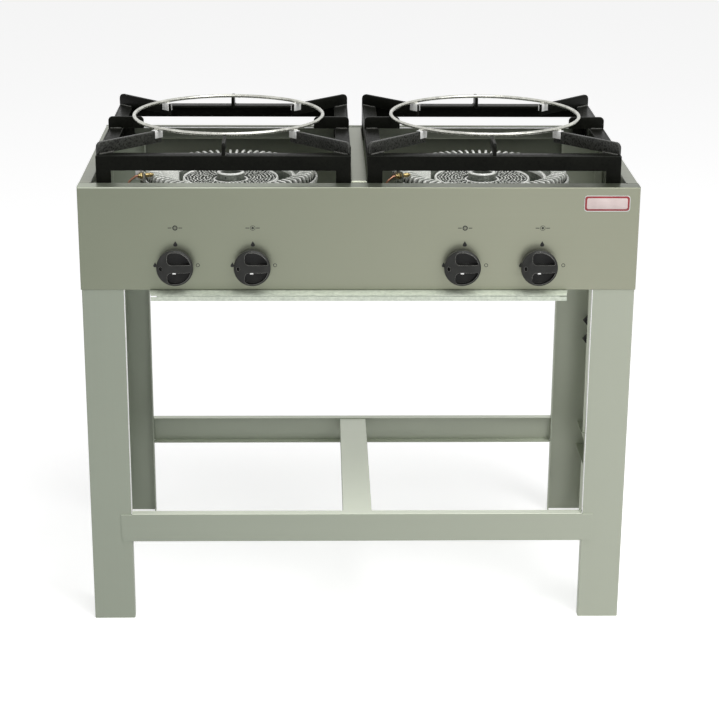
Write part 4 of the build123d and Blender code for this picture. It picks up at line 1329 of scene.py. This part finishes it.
@dataclass
class InnerBurner(Burner):
    """Cast hub burner: round rim, a land with rows of teeth, a raised lip round its bore."""

    ring: Ring = Ring.INNER
    section: tuple[Spot, ...] = (
        (0.0180, 0), (0.0815, 0), (0.082, 0.002), (0.0818, 0.0190), (0.0808, 0.0240),
        (0.0800, 0.0256), (0.0786, 0.0258), (0.0776, 0.0250), (0.0770, 0.0236),
        (0.0768, 0.0222), (0.0248, 0.0220), (0.0240, 0.0236), (0.0234, 0.0330),
        (0.0226, 0.0352), (0.0210, 0.0360), (0.0194, 0.0354), (0.0180, 0.0335))
    outer_rim: tuple[Spot, ...] = (
        (0.0775, 0.0200), (0.0822, 0.0200), (0.0819, 0.0250), (0.0808, 0.0270),
        (0.0792, 0.0274), (0.0780, 0.0262), (0.0775, 0.0240))
    bore_lip: tuple[Spot, ...] = (
        (0.0190, 0.0330), (0.0232, 0.0340), (0.0228, 0.0356), (0.0216, 0.0366),
        (0.0200, 0.0366), (0.0186, 0.0356), (0.0182, 0.0340))
    smooth_band: tuple[Spot, ...] = (
        (0.0262, 0.0215), (0.0300, 0.0215), (0.0298, 0.0230), (0.0290, 0.0236),
        (0.0272, 0.0236), (0.0264, 0.0230))
    hub_steps: int = 128
    first_row: float = 0.0345
    row_pitch: float = 0.0057
    row_count: int = 8
    stray: float = 0.0011
    fine_count: int = 34
    split_radius: float = 0.0500
    tooth_length: float = 0.0030
    tooth_width: float = 0.0042
    tooth_height: float = 0.0042
    tooth_root: float = 0.002
    tooth_edge: float = 0.0010
    tooth_share: float = 0.42
    land: float = 0.022
    seed: int = 11

    def add_teeth(self, bm: bmesh.types.BMesh) -> None:
        """Add the rows of small teeth round the land.

        Args:
            bm: The bmesh to add to.
        """
        tooth = bmesh.new()
        x, y = self.tooth_length / 2, self.tooth_width / 2
        add_prism(tooth, [(-x, -y), (x, -y), (x, y), (-x, y)], self.tooth_height + self.tooth_root,
                  Matrix.Translation((0, 0, -self.tooth_root)), self.tooth_edge, 3)
        shape = mesh_from(tooth, "tooth")
        places, chance = [], random.Random(self.seed)
        for row in range(self.row_count):
            radius = self.first_row + row * self.row_pitch
            count = self.fine_count if radius < self.split_radius else 2 * self.fine_count
            spread = self.tooth_share * 2 * math.pi * radius / count / self.tooth_width
            width = Matrix.Scale(spread, 4, (0, 1, 0))
            for i in range(count):
                turn = Matrix.Rotation(TURN * (i + 0.5 * (row % 2)) / count, 4, "Z")
                shift = Matrix.Translation((radius + chance.uniform(-self.stray, self.stray),
                                            chance.uniform(-self.stray, self.stray),
                                            self.land + chance.uniform(-self.stray, 0)))
                places.append(self.place @ turn @ shift @ width)
        add_copies(bm, shape, places)

    def build(self, book: FinishBook) -> None:
        """Create the hub burner, and its teeth and rims in bright copies of its finish, as painted
        highlight.

        Args:
            book: Hands out the finishes.
        """
        body, teeth, rims = bmesh.new(), bmesh.new(), bmesh.new()
        add_lathe(body, self.section, self.hub_steps, self.place)
        self.add_teeth(teeth)
        for rim in (self.outer_rim, self.bore_lip, self.smooth_band):
            add_lathe(rims, rim, self.hub_steps, self.place)
        self.add_mixer(body, self.centre.y)
        self.show(book, "hub", [("burner", body, CAST_BODY), ("teeth", teeth, CAST_CREST),
                                ("rims", rims, CAST_RIM)])


# Pan grates and wok rings


@dataclass
class PanGrate:
    """Welded angle-iron grate on four legs, with flat bar fingers on edge."""

    bay: Bay
    leg: float = 0.024
    thickness: float = 0.0032
    top: float = 0.801
    edge: float = 0.0006
    half_width: float = 0.20435
    finger_height: float = 0.020
    finger_thickness: float = 0.006
    finger_tip: float = 0.0050
    finger_nose: Spot = (0.0016, 0.0022)
    finger_edge: float = 0.0012
    mid_thickness: float = 0.0052
    corner_outer: float = 0.2868
    corner_inner: float = 0.152
    corner_round: float = 0.0090
    mid_length: float = 0.060
    mid_round: float = 0.0070
    rear_length: float = 0.046
    rear_round: float = 0.0125
    weld_radius: float = 0.0015
    weld_lift: float = 0.0004
    weld_end: float = 0.004
    corner_weld: float = 0.032
    mid_weld: float = 0.021

    def __post_init__(self) -> None:
        """Find the grate's place in the frame; the corner fingers reach past its sides."""
        self.node = f"grate_{self.bay.value}"
        self.low, self.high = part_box(self.node)
        self.centre = (self.low + self.high) / 2
        self.half = (self.high - self.low) / 2
        self.half.x = self.half_width

    def add_plate(self, bm: bmesh.types.BMesh, length: float, foot: float, place: Matrix) -> None:
        """Add one upright side: the angle's flange with a leg at each end.

        Args:
            bm: The bmesh to add to.
            length: Length of the side.
            foot: Width of each leg on this side.
            place: Puts the side's middle foot line, X along it and Y up.
        """
        h, rail = self.top - self.low.z, self.top - self.low.z - self.leg
        x = length / 2
        outline = [(-x, 0), (-x + foot, 0), (-x + foot, rail), (x - foot, rail), (x - foot, 0),
                   (x, 0), (x, h), (-x, h)]
        add_prism(bm, outline, self.thickness, place, self.edge)

    def add_frame(self, bm: bmesh.types.BMesh) -> None:
        """Add the four upright sides with their legs, and the flat flanges on top.

        Args:
            bm: The bmesh to add to.
        """
        t, c = self.thickness, self.centre
        for quarter in range(4):
            across = quarter % 2 == 0
            reach = self.half.y if across else self.half.x
            length = 2 * (self.half.x if across else self.half.y - t)
            foot = self.leg if across else self.leg - t
            turn = Matrix.Rotation(QUARTER * quarter, 4, "Z")
            base = Matrix.Translation((c.x, c.y, self.low.z)) @ turn
            side = base @ Matrix.Translation((0, -reach + t, 0)) @ UPRIGHT
            self.add_plate(bm, length, foot, side)
            shelf = Matrix.Translation((c.x, c.y, self.top - t)) @ turn
            cut = length / 2 - (t if across else 0) - (0 if across else self.leg - t)
            low, high = -reach + t, -reach + self.leg
            flange = [(-cut, low), (cut, low), (cut, high), (-cut, high)]
            add_prism(bm, flange, t, shelf, self.edge / 2)

    def add_finger(self, bm: bmesh.types.BMesh, near: float, far: float, angle: float,
                   outer_round: float, thickness: float) -> None:
        """Add a finger along a ray from the grate's middle.

        Args:
            bm: The bmesh to add to.
            near: Distance of its inner end.
            far: Distance of its outer end.
            angle: Direction of the ray, in radians.
            outer_round: Rounding of the upper outer corner.
            thickness: Thickness of the bar.
        """
        h, tip, nose = self.finger_height, self.finger_tip, self.finger_nose
        corner = (far - outer_round, h - outer_round)
        outline = [(near, 0), (far, 0), *on_circle(outer_round, arc(0, QUARTER, 8), corner),
                   (near + tip, h), (near + nose[0], h - nose[1]), (near, h - tip)]
        turn = Matrix.Rotation(angle, 4, "Z") @ UPRIGHT
        place = Matrix.Translation((self.centre.x, self.centre.y, self.top)) @ turn
        place = place @ Matrix.Translation((0, 0, -thickness / 2))
        add_prism(bm, outline, thickness, place, self.finger_edge, 3)

    def add_welds(self, bm: bmesh.types.BMesh) -> None:
        """Add the weld beads at the feet of the fingers.

        Args:
            bm: The bmesh to add to.
        """
        middle = Vector((self.centre.x, self.centre.y, self.top + self.weld_lift))
        side = self.finger_thickness / 2 + self.weld_lift / 2
        for quarter in range(4):
            reach = (self.half.x, self.half.y)[quarter % 2]
            ray = QUARTER * quarter
            for angle, far, length in ((math.pi / 4 + ray, self.corner_outer, self.corner_weld),
                                       (ray, reach, self.mid_weld)):
                along = Vector((math.cos(angle), math.sin(angle), 0))
                across = Vector((-along.y, along.x, 0))
                for way in SIDES:
                    base = middle + across * side * way
                    WeldBead(self.weld_radius, quarter * 7 + way).add(
                        bm, base + along * (far - length), base + along * (far - self.weld_end))

    def build(self, book: FinishBook) -> None:
        """Create the grate's frame, and its front corner fingers with the welds in a lighter
        enamel that paints their sheen.

        Args:
            book: Hands out the finishes.
        """
        body, painted_highlight = bmesh.new(), bmesh.new()
        self.add_frame(body)
        for quarter in range(4):
            ray, rear, front = QUARTER * quarter, quarter == 1, quarter in (2, 3)
            self.add_finger(painted_highlight if front else body, self.corner_inner, self.corner_outer,
                            ray + math.pi / 4, self.corner_round, self.finger_thickness)
            reach = (self.half.x, self.half.y)[quarter % 2]
            self.add_finger(body, reach - (self.rear_length if rear else self.mid_length), reach,
                            ray, self.rear_round if rear else self.mid_round, self.mid_thickness)
        self.add_welds(painted_highlight)
        piece = new_piece(f"pan_{self.node}", mesh_from(body, self.node), self.node,
                          book.get(BLACK_ENAMEL))
        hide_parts(self.node)
        new_piece(f"grate_fingers_{self.bay.value}", mesh_from(painted_highlight, "fingers"), self.node,
                  book.get(PAINTED_SHEEN_ENAMEL))


@dataclass
class WokRing:
    """Round wire ring on four sheet clips that straddle the grate's corner fingers."""

    bay: Bay
    radius: float = 0.1595
    wire: float = 0.003
    ring_steps: int = 144
    wire_steps: int = 20
    joint_offset: float = 0.012
    joint_length: float = 0.002
    joint_swell: float = 1.12
    clip_width: float = 0.016
    clip_drop: float = 0.012
    clip_inside: float = 0.0035
    clip_edge: float = 0.00018
    sheet: float = 0.001
    weld_radius: float = 0.0013
    weld_half: float = 0.0032
    weld_offset: float = 0.0026
    weld_lift: float = 0.0009

    def __post_init__(self) -> None:
        """Find the ring's place in the frame."""
        self.node = f"wok_ring_{self.bay.value}"
        low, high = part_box(self.node)
        self.seat = Vector(((low.x + high.x) / 2, (low.y + high.y) / 2, low.z + self.clip_drop))

    def add_wire(self, bm: bmesh.types.BMesh) -> None:
        """Add the ring's wire and the weld where its ends meet.

        Args:
            bm: The bmesh to add to.
        """
        middle = Vector((self.seat.x, self.seat.y, self.seat.z + self.sheet + self.wire))
        path = [middle + self.radius * Vector((math.cos(a), math.sin(a), 0))
                for a in arc(0, TURN, self.ring_steps)[:-1]]
        add_tube(bm, path, self.wire, self.wire_steps, closed=True)
        x = self.joint_offset
        joint = middle + Vector((x, math.sqrt(self.radius ** 2 - x ** 2), 0))
        WeldBead(self.wire * self.joint_swell, 5).add(
            bm, joint, joint + Vector((self.joint_length, 0, 0)))

    def clip_outline(self) -> list[Spot]:
        """Section of a clip: an inverted channel with rounded folds.

        Returns:
            The outline's points, in order.
        """
        w, s, d = self.clip_inside, self.sheet, self.clip_drop
        folds = arc(0, QUARTER, 4)
        outline = [(-w - s, -d), (-w - s, 0)]
        outline += [(-w - s + s * (1 - math.cos(a)), s * math.sin(a)) for a in folds[1:]]
        outline += [(w + s * math.sin(a), s * math.cos(a)) for a in folds]
        return outline + [(w + s, -d), (w, -d), (w, 0), (-w, 0), (-w, -d)]

    def build(self, book: FinishBook) -> None:
        """Create the wire ring with its welds, and its clips.

        Args:
            book: Hands out the finishes.
        """
        wire, clips = bmesh.new(), bmesh.new()
        self.add_wire(wire)
        for quarter in range(4):
            turn = Matrix.Rotation(math.pi / 4 + QUARTER * quarter, 4, "Z")
            stand = Matrix.Translation(self.seat) @ turn
            place = stand @ Matrix.Translation((self.radius - self.clip_width / 2, 0, 0)) @ ACROSS
            add_prism(clips, self.clip_outline(), self.clip_width, place, self.clip_edge)
            for way in SIDES:
                spot = stand @ Vector((self.radius + way * self.weld_offset, 0,
                                       self.sheet + self.weld_lift))
                along = stand.to_3x3() @ Vector((0, self.weld_half, 0))
                WeldBead(self.weld_radius, quarter * 3 + way).add(wire, spot - along, spot + along)
        piece = new_piece(f"wire_ring_{self.bay.value}", mesh_from(wire, self.node), self.node,
                          book.get(RING_WIRE))
        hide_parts(self.node)
        new_piece(f"ring_clips_{self.bay.value}", mesh_from(clips, "clips"), self.node,
                  book.get(CLIP_STEEL))


# Pilots and tubes


@dataclass
class Pilot:
    """Pilot burner screwed through its bracket's plate, with its nut and copper tube."""

    centre: Vector
    offset: Spot = (-0.127, -0.062)
    height: float = 0.735
    barrel: float = 0.018
    barrel_radius: float = 0.0038
    barrel_steps: int = 32
    plate: float = 0.002
    nut_width: float = 0.0095
    nut_height: float = 0.0044
    nut_length: float = 0.008
    nut_edge: float = 0.0006
    gland_radius: float = 0.0036
    gland_steps: int = 24
    tube_radius: float = 0.002
    tube_steps: int = 16
    tube_bend: float = 0.016
    tube_lead: float = 0.004
    knee_run: float = 0.018
    knee_drop: float = 0.009
    tube_low: float = 0.662
    tap: float = -0.118
    bracket_half: float = 0.010
    cheek_width: float = 0.0095
    cheek_low: float = 0.7255
    cheek_top: float = 0.743
    cheek_skin: float = 0.0004

    def __post_init__(self) -> None:
        """Work out where the burner sits and points."""
        self.aim = Vector((-self.offset[0], -self.offset[1], 0)).normalized()
        tip = Vector((self.centre.x + self.offset[0], self.centre.y + self.offset[1], self.height))
        self.seat = tip - self.aim * self.barrel
        self.along = (Matrix.Translation(self.seat)
                      @ self.aim.to_track_quat("Z", "Y").to_matrix().to_4x4())

    def add_barrel(self, bm: bmesh.types.BMesh) -> None:
        """Add the turned barrel with its air hole collar and its nozzle.

        Args:
            bm: The bmesh to add to.
        """
        r, end = self.barrel_radius, self.barrel
        thread = [(0, -self.plate), (r * 0.7, -self.plate), (r * 0.7, 0.0002)]
        collar = [(r * 1.06, 0.0003), (r * 1.1, 0.0008), (r * 1.1, 0.0026), (r * 1.04, 0.0031)]
        waist = [(r * 0.94, 0.0033), (r * 0.94, 0.0108), (r, 0.0112), (r, 0.0140),
                 (r * 0.93, 0.0146)]
        nozzle = [(r * 0.66, 0.0150), (r * 0.64, end - 0.0012), (r * 0.54, end), (r * 0.34, end),
                  (r * 0.30, end - 0.002), (0, end - 0.0021)]
        add_lathe(bm, thread + collar + waist + nozzle, self.barrel_steps, self.along)

    def add_nut(self, bm: bmesh.types.BMesh) -> None:
        """Add the hexagon nut and the gland that grips the tube.

        Args:
            bm: The bmesh to add to.
        """
        hexagon = on_circle(self.nut_width / math.sqrt(3), arc(0, TURN, 6)[:-1])
        base = self.along @ Matrix.Translation((0, 0, -self.plate - 0.0046))
        add_prism(bm, hexagon, self.nut_height, base, self.nut_edge, 3)
        r, end = self.gland_radius, -self.plate - self.nut_length
        add_lathe(bm, [(0, end), (r - 0.0006, end), (r - 0.0002, end + 0.0005), (r, end + 0.0030),
                       (r, end + 0.0040), (0, end + 0.0040)], self.gland_steps, self.along)

    def add_cheek(self, bm: bmesh.types.BMesh) -> None:
        """Add the bracket's folded cheek behind the nut, and its bright front face.

        Args:
            bm: The bmesh to add to.
        """
        skin, half = self.cheek_skin, self.bracket_half
        edge = self.seat + Matrix.Rotation(QUARTER, 3, "Z") @ self.aim * half
        low = (edge.x - self.cheek_width, edge.y - self.plate, self.cheek_low)
        add_box(bm, low, (edge.x + skin, edge.y - self.plate / 2, self.cheek_top), skin)
        foot, head = self.cheek_low - self.height, self.cheek_top - self.height
        face = [(-half, foot), (half, foot), (half, head), (-half, head)]
        front = self.along @ Matrix.Translation((0, 0, -self.plate - 0.0003))
        add_prism(bm, face, skin, front, skin / 4, 1)

    def add_supply(self, bm: bmesh.types.BMesh) -> None:
        """Add the copper tube down to the gas rail.

        Args:
            bm: The bmesh to add to.
        """
        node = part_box("pilot_tubes")[0]
        tail = self.seat - self.aim * (self.plate + self.nut_length)
        knee = tail - self.aim * self.knee_run - Vector((0, 0, self.knee_drop))
        tap_x, tap_y = self.centre.x + self.tap, node.y + self.tube_radius
        corners = [tail, tail - self.aim * self.tube_lead, knee, (knee.x, knee.y, self.tube_low),
                   (tap_x, tap_y, self.tube_low), (tap_x, tap_y, node.z)]
        add_tube(bm, rounded_path(corners, self.tube_bend, 8), self.tube_radius, self.tube_steps)


@dataclass
class PilotSet:
    """The two pilot burners of the stove and their tubes."""

    centres: Sequence[Vector]
    # The first cheek is near-white as painted highlight, the second darker steel as painted shade.
    cheek_looks: tuple[Finish, Finish] = (CLIP_STEEL, BRIGHT_STEEL)

    def build(self, book: FinishBook) -> None:
        """Create the pilot burners, their tubes and the cheeks of their brackets.

        Args:
            book: Hands out the finishes.
        """
        burners, tubes = bmesh.new(), bmesh.new()
        for number, centre in enumerate(self.centres):
            pilot = Pilot(centre)
            pilot.add_barrel(burners)
            pilot.add_nut(burners)
            pilot.add_supply(tubes)
            cheek = bmesh.new()
            pilot.add_cheek(cheek)
            new_piece(f"pilot_cheek_{number + 1}", mesh_from(cheek, "cheek"), "stand",
                      book.get(self.cheek_looks[number]))
        for name, bm, look, slot, node in (
                ("pilot_jets", burners, BRASS, "brass", "pilot_burners"),
                ("pilot_copper_tubes", tubes, COPPER, "copper", "pilot_tubes")):
            piece = new_piece(name, mesh_from(bm, name), "stand", book.get(look))
            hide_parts(node)


@dataclass
class FeedTubes:
    """Bent tubes from the valves to the jets."""

    radius: float = 0.004
    steps: int = 20
    bend: float = 0.012
    run: float = 0.008

    def build(self, book: FinishBook) -> None:
        """Create the four tubes in one piece.

        Args:
            book: Hands out the finishes.
        """
        low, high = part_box("feed_tubes")
        lead = Vector((0, self.run, 0))
        bm = bmesh.new()
        for name in (f"{bay.value}_{ring.value}" for bay in Bay for ring in Ring):
            valve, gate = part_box(f"valve_body_{name}"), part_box(f"air_shutter_{name}")
            start = Vector(((valve[0].x + valve[1].x) / 2, low.y, (low.z + high.z) / 2))
            end = Vector(((gate[0].x + gate[1].x) / 2, high.y, start.z))
            path = rounded_path([start, start + lead, end - lead, end], self.bend, 8)
            add_tube(bm, path, self.radius, self.steps)
        piece = new_piece("bent_feed_tubes", mesh_from(bm, "feed"), "stand", book.get(COPPER))
        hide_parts("feed_tubes")


# Painted highlights on the folds of the sheet steel


@dataclass
class BrightFolds:
    """Painted highlight strips on the folds: along the rear panel's top flange and down the front
    legs' inner edges.
    """

    height: float = 0.0018
    depth: float = 0.0024
    edge: float = 0.0004
    end_gap: float = 0.001
    rise: float = 0.0001
    leg_fold: float = 0.0014

    def add_hems(self, bm: bmesh.types.BMesh) -> None:
        """Add the two hems at the back, left and right of the centre strip.

        Args:
            bm: The bmesh to add to.
        """
        low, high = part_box("rear_panel")
        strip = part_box("centre_strip")
        for x0, x1 in ((low.x + self.end_gap, strip[0].x), (strip[1].x, high.x - self.end_gap)):
            add_box(bm, (x0, low.y - self.depth / 2, high.z - self.height),
                    (x1, low.y + self.depth / 2, high.z + self.rise), self.edge)

    def add_leg_folds(self, bm: bmesh.types.BMesh) -> None:
        """Add the folds of the front legs, between the apron and the front rail.

        Args:
            bm: The bmesh to add to.
        """
        top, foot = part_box("front_panel")[0].z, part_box("front_rail")[1].z
        t = self.leg_fold
        for side, inner in (("left", 1), ("right", 0)):
            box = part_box(f"leg_front_{side}")
            x, y = box[inner].x, box[0].y
            add_box(bm, (x - t / 2, y - t / 4, foot), (x + t / 2, y + t, top), t / 3)

    def build(self, book: FinishBook) -> None:
        """Create the hems and the folds.

        Args:
            book: Hands out the finishes.
        """
        hems, folds = bmesh.new(), bmesh.new()
        self.add_hems(hems)
        self.add_leg_folds(folds)
        # Both take the near-white clip finish as painted highlight.
        for name, bm, slot in (("rear_flange_hem", hems, "body_paint"),
                               ("leg_fold_edges", folds, "leg_paint")):
            new_piece(name, mesh_from(bm, name), "stand", book.get(CLIP_STEEL))


# Drip tray


@dataclass
class DripTray:
    """Shallow pan on side flanges, with a two-sheet lip in front of the apron."""

    sheet: float = 0.001
    flange: float = 0.010
    front_gap: float = 0.016
    lip_fall: float = 0.0028
    lip_height: float = 0.0088
    seam: float = 0.0012
    hem: float = 0.006
    end_gap: float = 0.0035

    def add_pan(self, bm: bmesh.types.BMesh, low: Vector, high: Vector) -> None:
        """Add the floor, the walls and the side flanges of the pan.

        Args:
            bm: The bmesh to add to.
            low: Lowest corner of the tray.
            high: Highest corner of the tray.
        """
        s, x = self.sheet, high.x - self.flange
        y0, y1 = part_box("front_panel")[0].y + self.front_gap, high.y
        add_box(bm, (-x, y0, low.z), (x, y1, low.z + s), s / 4)
        for way in SIDES:
            wall = sorted((way * x, way * (x - s)))
            rim = sorted((way * (x - s), way * high.x))
            add_box(bm, (wall[0], y0, low.z), (wall[1], y1, high.z), s / 4)
            add_box(bm, (rim[0], y0, high.z - s), (rim[1], y1, high.z), s / 4)
        for y in (y0, y1 - s):
            add_box(bm, (-x, y, low.z), (x, y + s, high.z), s / 4)

    def add_lip(self, bm: bmesh.types.BMesh, low: Vector, high: Vector) -> None:
        """Add the level back and the sloping top sheet of the lip, and its folded front face.

        Args:
            bm: The bmesh to add to.
            low: Lowest corner of the tray.
            high: Highest corner of the tray.
        """
        s, front, apron = self.sheet, low.y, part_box("front_panel")[0].y
        edge = high.z - self.lip_fall
        back, nose = apron + self.front_gap + s, front + s + self.seam
        shelf = [(back, high.z), (apron, high.z), (apron, high.z - s), (back, high.z - s)]
        add_prism(bm, shelf, 2 * high.x, Matrix.Translation((-high.x, 0, 0)) @ ACROSS, s / 4)
        slope = Matrix.Rotation(-math.atan2(high.z - edge, apron - nose), 4, "X")
        run, half = math.hypot(apron - nose, high.z - edge), high.x - self.end_gap
        mitre = [(-high.x, 0), (high.x, 0), (half, -run), (-high.x + self.end_gap, -run)]
        place = Matrix.Translation((0, apron, high.z)) @ slope.inverted()
        add_prism(bm, mitre, s, place @ Matrix.Translation((0, 0, -s)), s / 4)
        foot, head = edge - self.lip_height, edge - s - self.seam
        face = [(front, head), (front, foot), (front + self.hem, foot),
                (front + self.hem, foot + s), (front + s, foot + s), (front + s, head)]
        add_prism(bm, face, 2 * half, Matrix.Translation((-half, 0, 0)) @ ACROSS, s / 4)

    def build(self, book: FinishBook) -> None:
        """Create the tray.

        Args:
            book: Hands out the finishes.
        """
        low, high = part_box("drip_tray")
        bm = bmesh.new()
        self.add_pan(bm, low, high)
        self.add_lip(bm, low, high)
        piece = new_piece("folded_drip_tray", mesh_from(bm, "tray"), "drip_tray",
                          book.get(GALVANISED))
        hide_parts("drip_tray")


# Hose clips


@dataclass
class HoseClips:
    """Two black spring clips on the rear leg, each a bent jaw on a foot."""

    height: float = 0.018
    width: float = 0.0125
    stroke: float = 0.0034
    depth: float = 0.008
    foot_inset: float = 0.001
    foot_low: float = 0.3
    foot_top: float = 0.7
    edge: float = 0.0004

    def build(self, book: FinishBook) -> None:
        """Create the two clips in one piece.

        Args:
            book: Hands out the finishes.
        """
        low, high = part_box("hose_clips")
        w, h, t = self.width, self.height, self.stroke
        jaw = [(0, h / 2), (w - t, h), (w, h - t / 2), (1.6 * t, h / 2 + t / 3), (w, h * 0.62),
               (w, h * 0.42), (1.7 * t, h / 2 - t / 3), (w - t / 2, t / 2), (w - 1.6 * t, 0)]
        front = low.y + self.depth
        bm = bmesh.new()
        for z in (low.z, high.z - h):
            add_prism(bm, jaw, self.depth, Matrix.Translation((low.x, front, z)) @ UPRIGHT,
                      self.edge)
            add_box(bm, (low.x + 2 * t, front - self.foot_inset, z + h * self.foot_low),
                    (high.x, high.y, z + h * self.foot_top), self.edge)
        piece = new_piece("hooked_hose_clips", mesh_from(bm, "clips"), "stand",
                          book.get(BLACK_CLIP))
        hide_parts("hose_clips")


# Marks on the apron


@dataclass(frozen=True)
class PlateLayer:
    """One layer of the plain plate: how far it is inset and how far it stands out."""

    name: str
    inset: float
    rise: float
    finish: Finish


@dataclass
class PanelMarks:
    """Printed marks beside each knob and the plain plate at the right."""

    rise: float = 0.00012
    flame_size: Spot = (0.0060, 0.0085)
    flame_steps: int = 28
    large_flame: float = 1.12
    flame_height: float = 0.6650
    small_flame: Spot = (-0.0334, 0.6300)
    off_ring: Spot = (0.0354, 0.6290)
    off_radius: float = 0.0031
    off_line: float = 0.0009
    sign_height: float = 0.6910
    sign_radii: Spot = (0.0042, 0.0020)
    thin_lines: Spot = (0.0007, 0.0006)
    bold_line: float = 0.0016
    dash_offset: float = 0.0085
    dash_half: Spot = (0.003, 0.0006)
    circle_steps: int = 32
    spots: tuple[tuple[Ring, float], ...] = (
        (Ring.OUTER, -0.2953), (Ring.INNER, -0.1710), (Ring.OUTER, 0.1700), (Ring.INNER, 0.2950))
    plate: tuple[float, float, float, float] = (0.360, 0.434, 0.7186, 0.7450)
    plate_corner: float = 0.005
    plate_edge: float = 0.0003
    layers: tuple[PlateLayer, ...] = (
        PlateLayer("badge_base", 0.0, 0.0009, BADGE_PLATE),
        PlateLayer("badge_border", 0.0012, 0.00125, BADGE_RED),
        PlateLayer("badge_field", 0.0042, 0.00145, BADGE_FIELD))

    def __post_init__(self) -> None:
        """Find the apron's face in the frame."""
        self.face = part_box("front_panel")[0].y

    def on_panel(self, x: float, z: float) -> Matrix:
        """Matrix that lays a flat shape on the apron at this place."""
        return Matrix.Translation((x, self.face, z)) @ UPRIGHT

    def add_flame(self, bm: bmesh.types.BMesh, x: float, z: float, size: float) -> None:
        """Add a drop-shaped flame.

        Args:
            bm: The bmesh to add to.
            x: Its middle, along X.
            z: Its middle's height.
            size: Its size as a share of the usual flame.
        """
        w, h = self.flame_size[0] * size, self.flame_size[1] * size
        outline = [(w / 1.3 * math.sin(t) * math.sin(t / 2) ** 2, h / 2 * math.cos(t))
                   for t in arc(0, TURN, self.flame_steps)[:-1]]
        add_prism(bm, outline, self.rise, self.on_panel(x, z))

    def add_circle(self, bm: bmesh.types.BMesh, x: float, z: float, radius: float,
                   line: float) -> None:
        """Add a printed circle.

        Args:
            bm: The bmesh to add to.
            x: Its middle, along X.
            z: Its middle's height.
            radius: Its outer radius.
            line: Width of its line.
        """
        add_lathe(bm, [(radius - line, 0), (radius, 0), (radius, self.rise),
                       (radius - line, self.rise)], self.circle_steps, self.on_panel(x, z))

    def add_sign(self, bm: bmesh.types.BMesh, x: float, ring: Ring) -> None:
        """Add the sign of a burner: two circles, its own one bold, between two dashes.

        Args:
            bm: The bmesh to add to.
            x: The sign's middle, along X.
            ring: The burner that it stands for.
        """
        z = self.sign_height
        for own, radius, thin in zip(Ring, self.sign_radii, self.thin_lines):
            self.add_circle(bm, x, z, radius, self.bold_line if own == ring else thin)
        wide, tall = self.dash_half
        for way in SIDES:
            middle = x + way * self.dash_offset
            add_box(bm, (middle - wide, self.face - self.rise, z - tall),
                    (middle + wide, self.face, z + tall))

    def build(self, book: FinishBook) -> None:
        """Create the printed marks and the plate.

        Args:
            book: Hands out the finishes.
        """
        bm = bmesh.new()
        for ring, x in self.spots:
            self.add_flame(bm, x, self.flame_height, self.large_flame)
            self.add_flame(bm, x + self.small_flame[0], self.small_flame[1], 1.0)
            self.add_circle(bm, x + self.off_ring[0], self.off_ring[1], self.off_radius,
                            self.off_line)
            self.add_sign(bm, x, ring)
        new_piece("printed_marks", mesh_from(bm, "marks"), "stand", book.get(PRINT_BLACK),
                  None)
        x0, x1, z0, z1 = self.plate
        centre = self.on_panel((x0 + x1) / 2, (z0 + z1) / 2)
        for layer in self.layers:
            bm, inset = bmesh.new(), layer.inset
            outline = rounded_rectangle(x1 - x0 - 2 * inset, z1 - z0 - 2 * inset,
                                        self.plate_corner - inset / 2)
            add_prism(bm, outline, layer.rise, centre, self.plate_edge)
            new_piece(layer.name, mesh_from(bm, layer.name), "stand", book.get(layer.finish))


def main() -> None:
    """Dress the frame, build each assembly and set up the studio."""
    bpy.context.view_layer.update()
    book = FinishBook()
    book.dress_frame()
    centres = []
    for bay in Bay:
        for ring in Ring:
            Knob(f"{bay.value}_{ring.value}").build(book)
        outer = OuterBurner(bay)
        centres.append(outer.centre)
        for part in (outer, InnerBurner(bay), PanGrate(bay), WokRing(bay)):
            part.build(book)
    for part in (PilotSet(centres), FeedTubes(), BrightFolds(), DripTray(), HoseClips(),
                 PanelMarks()):
        part.build(book)
    Studio().build()
    PhotoCamera().build()


if __name__ == "__main__":
    bpy.context.scene.view_settings.view_transform = "Standard"
    main()
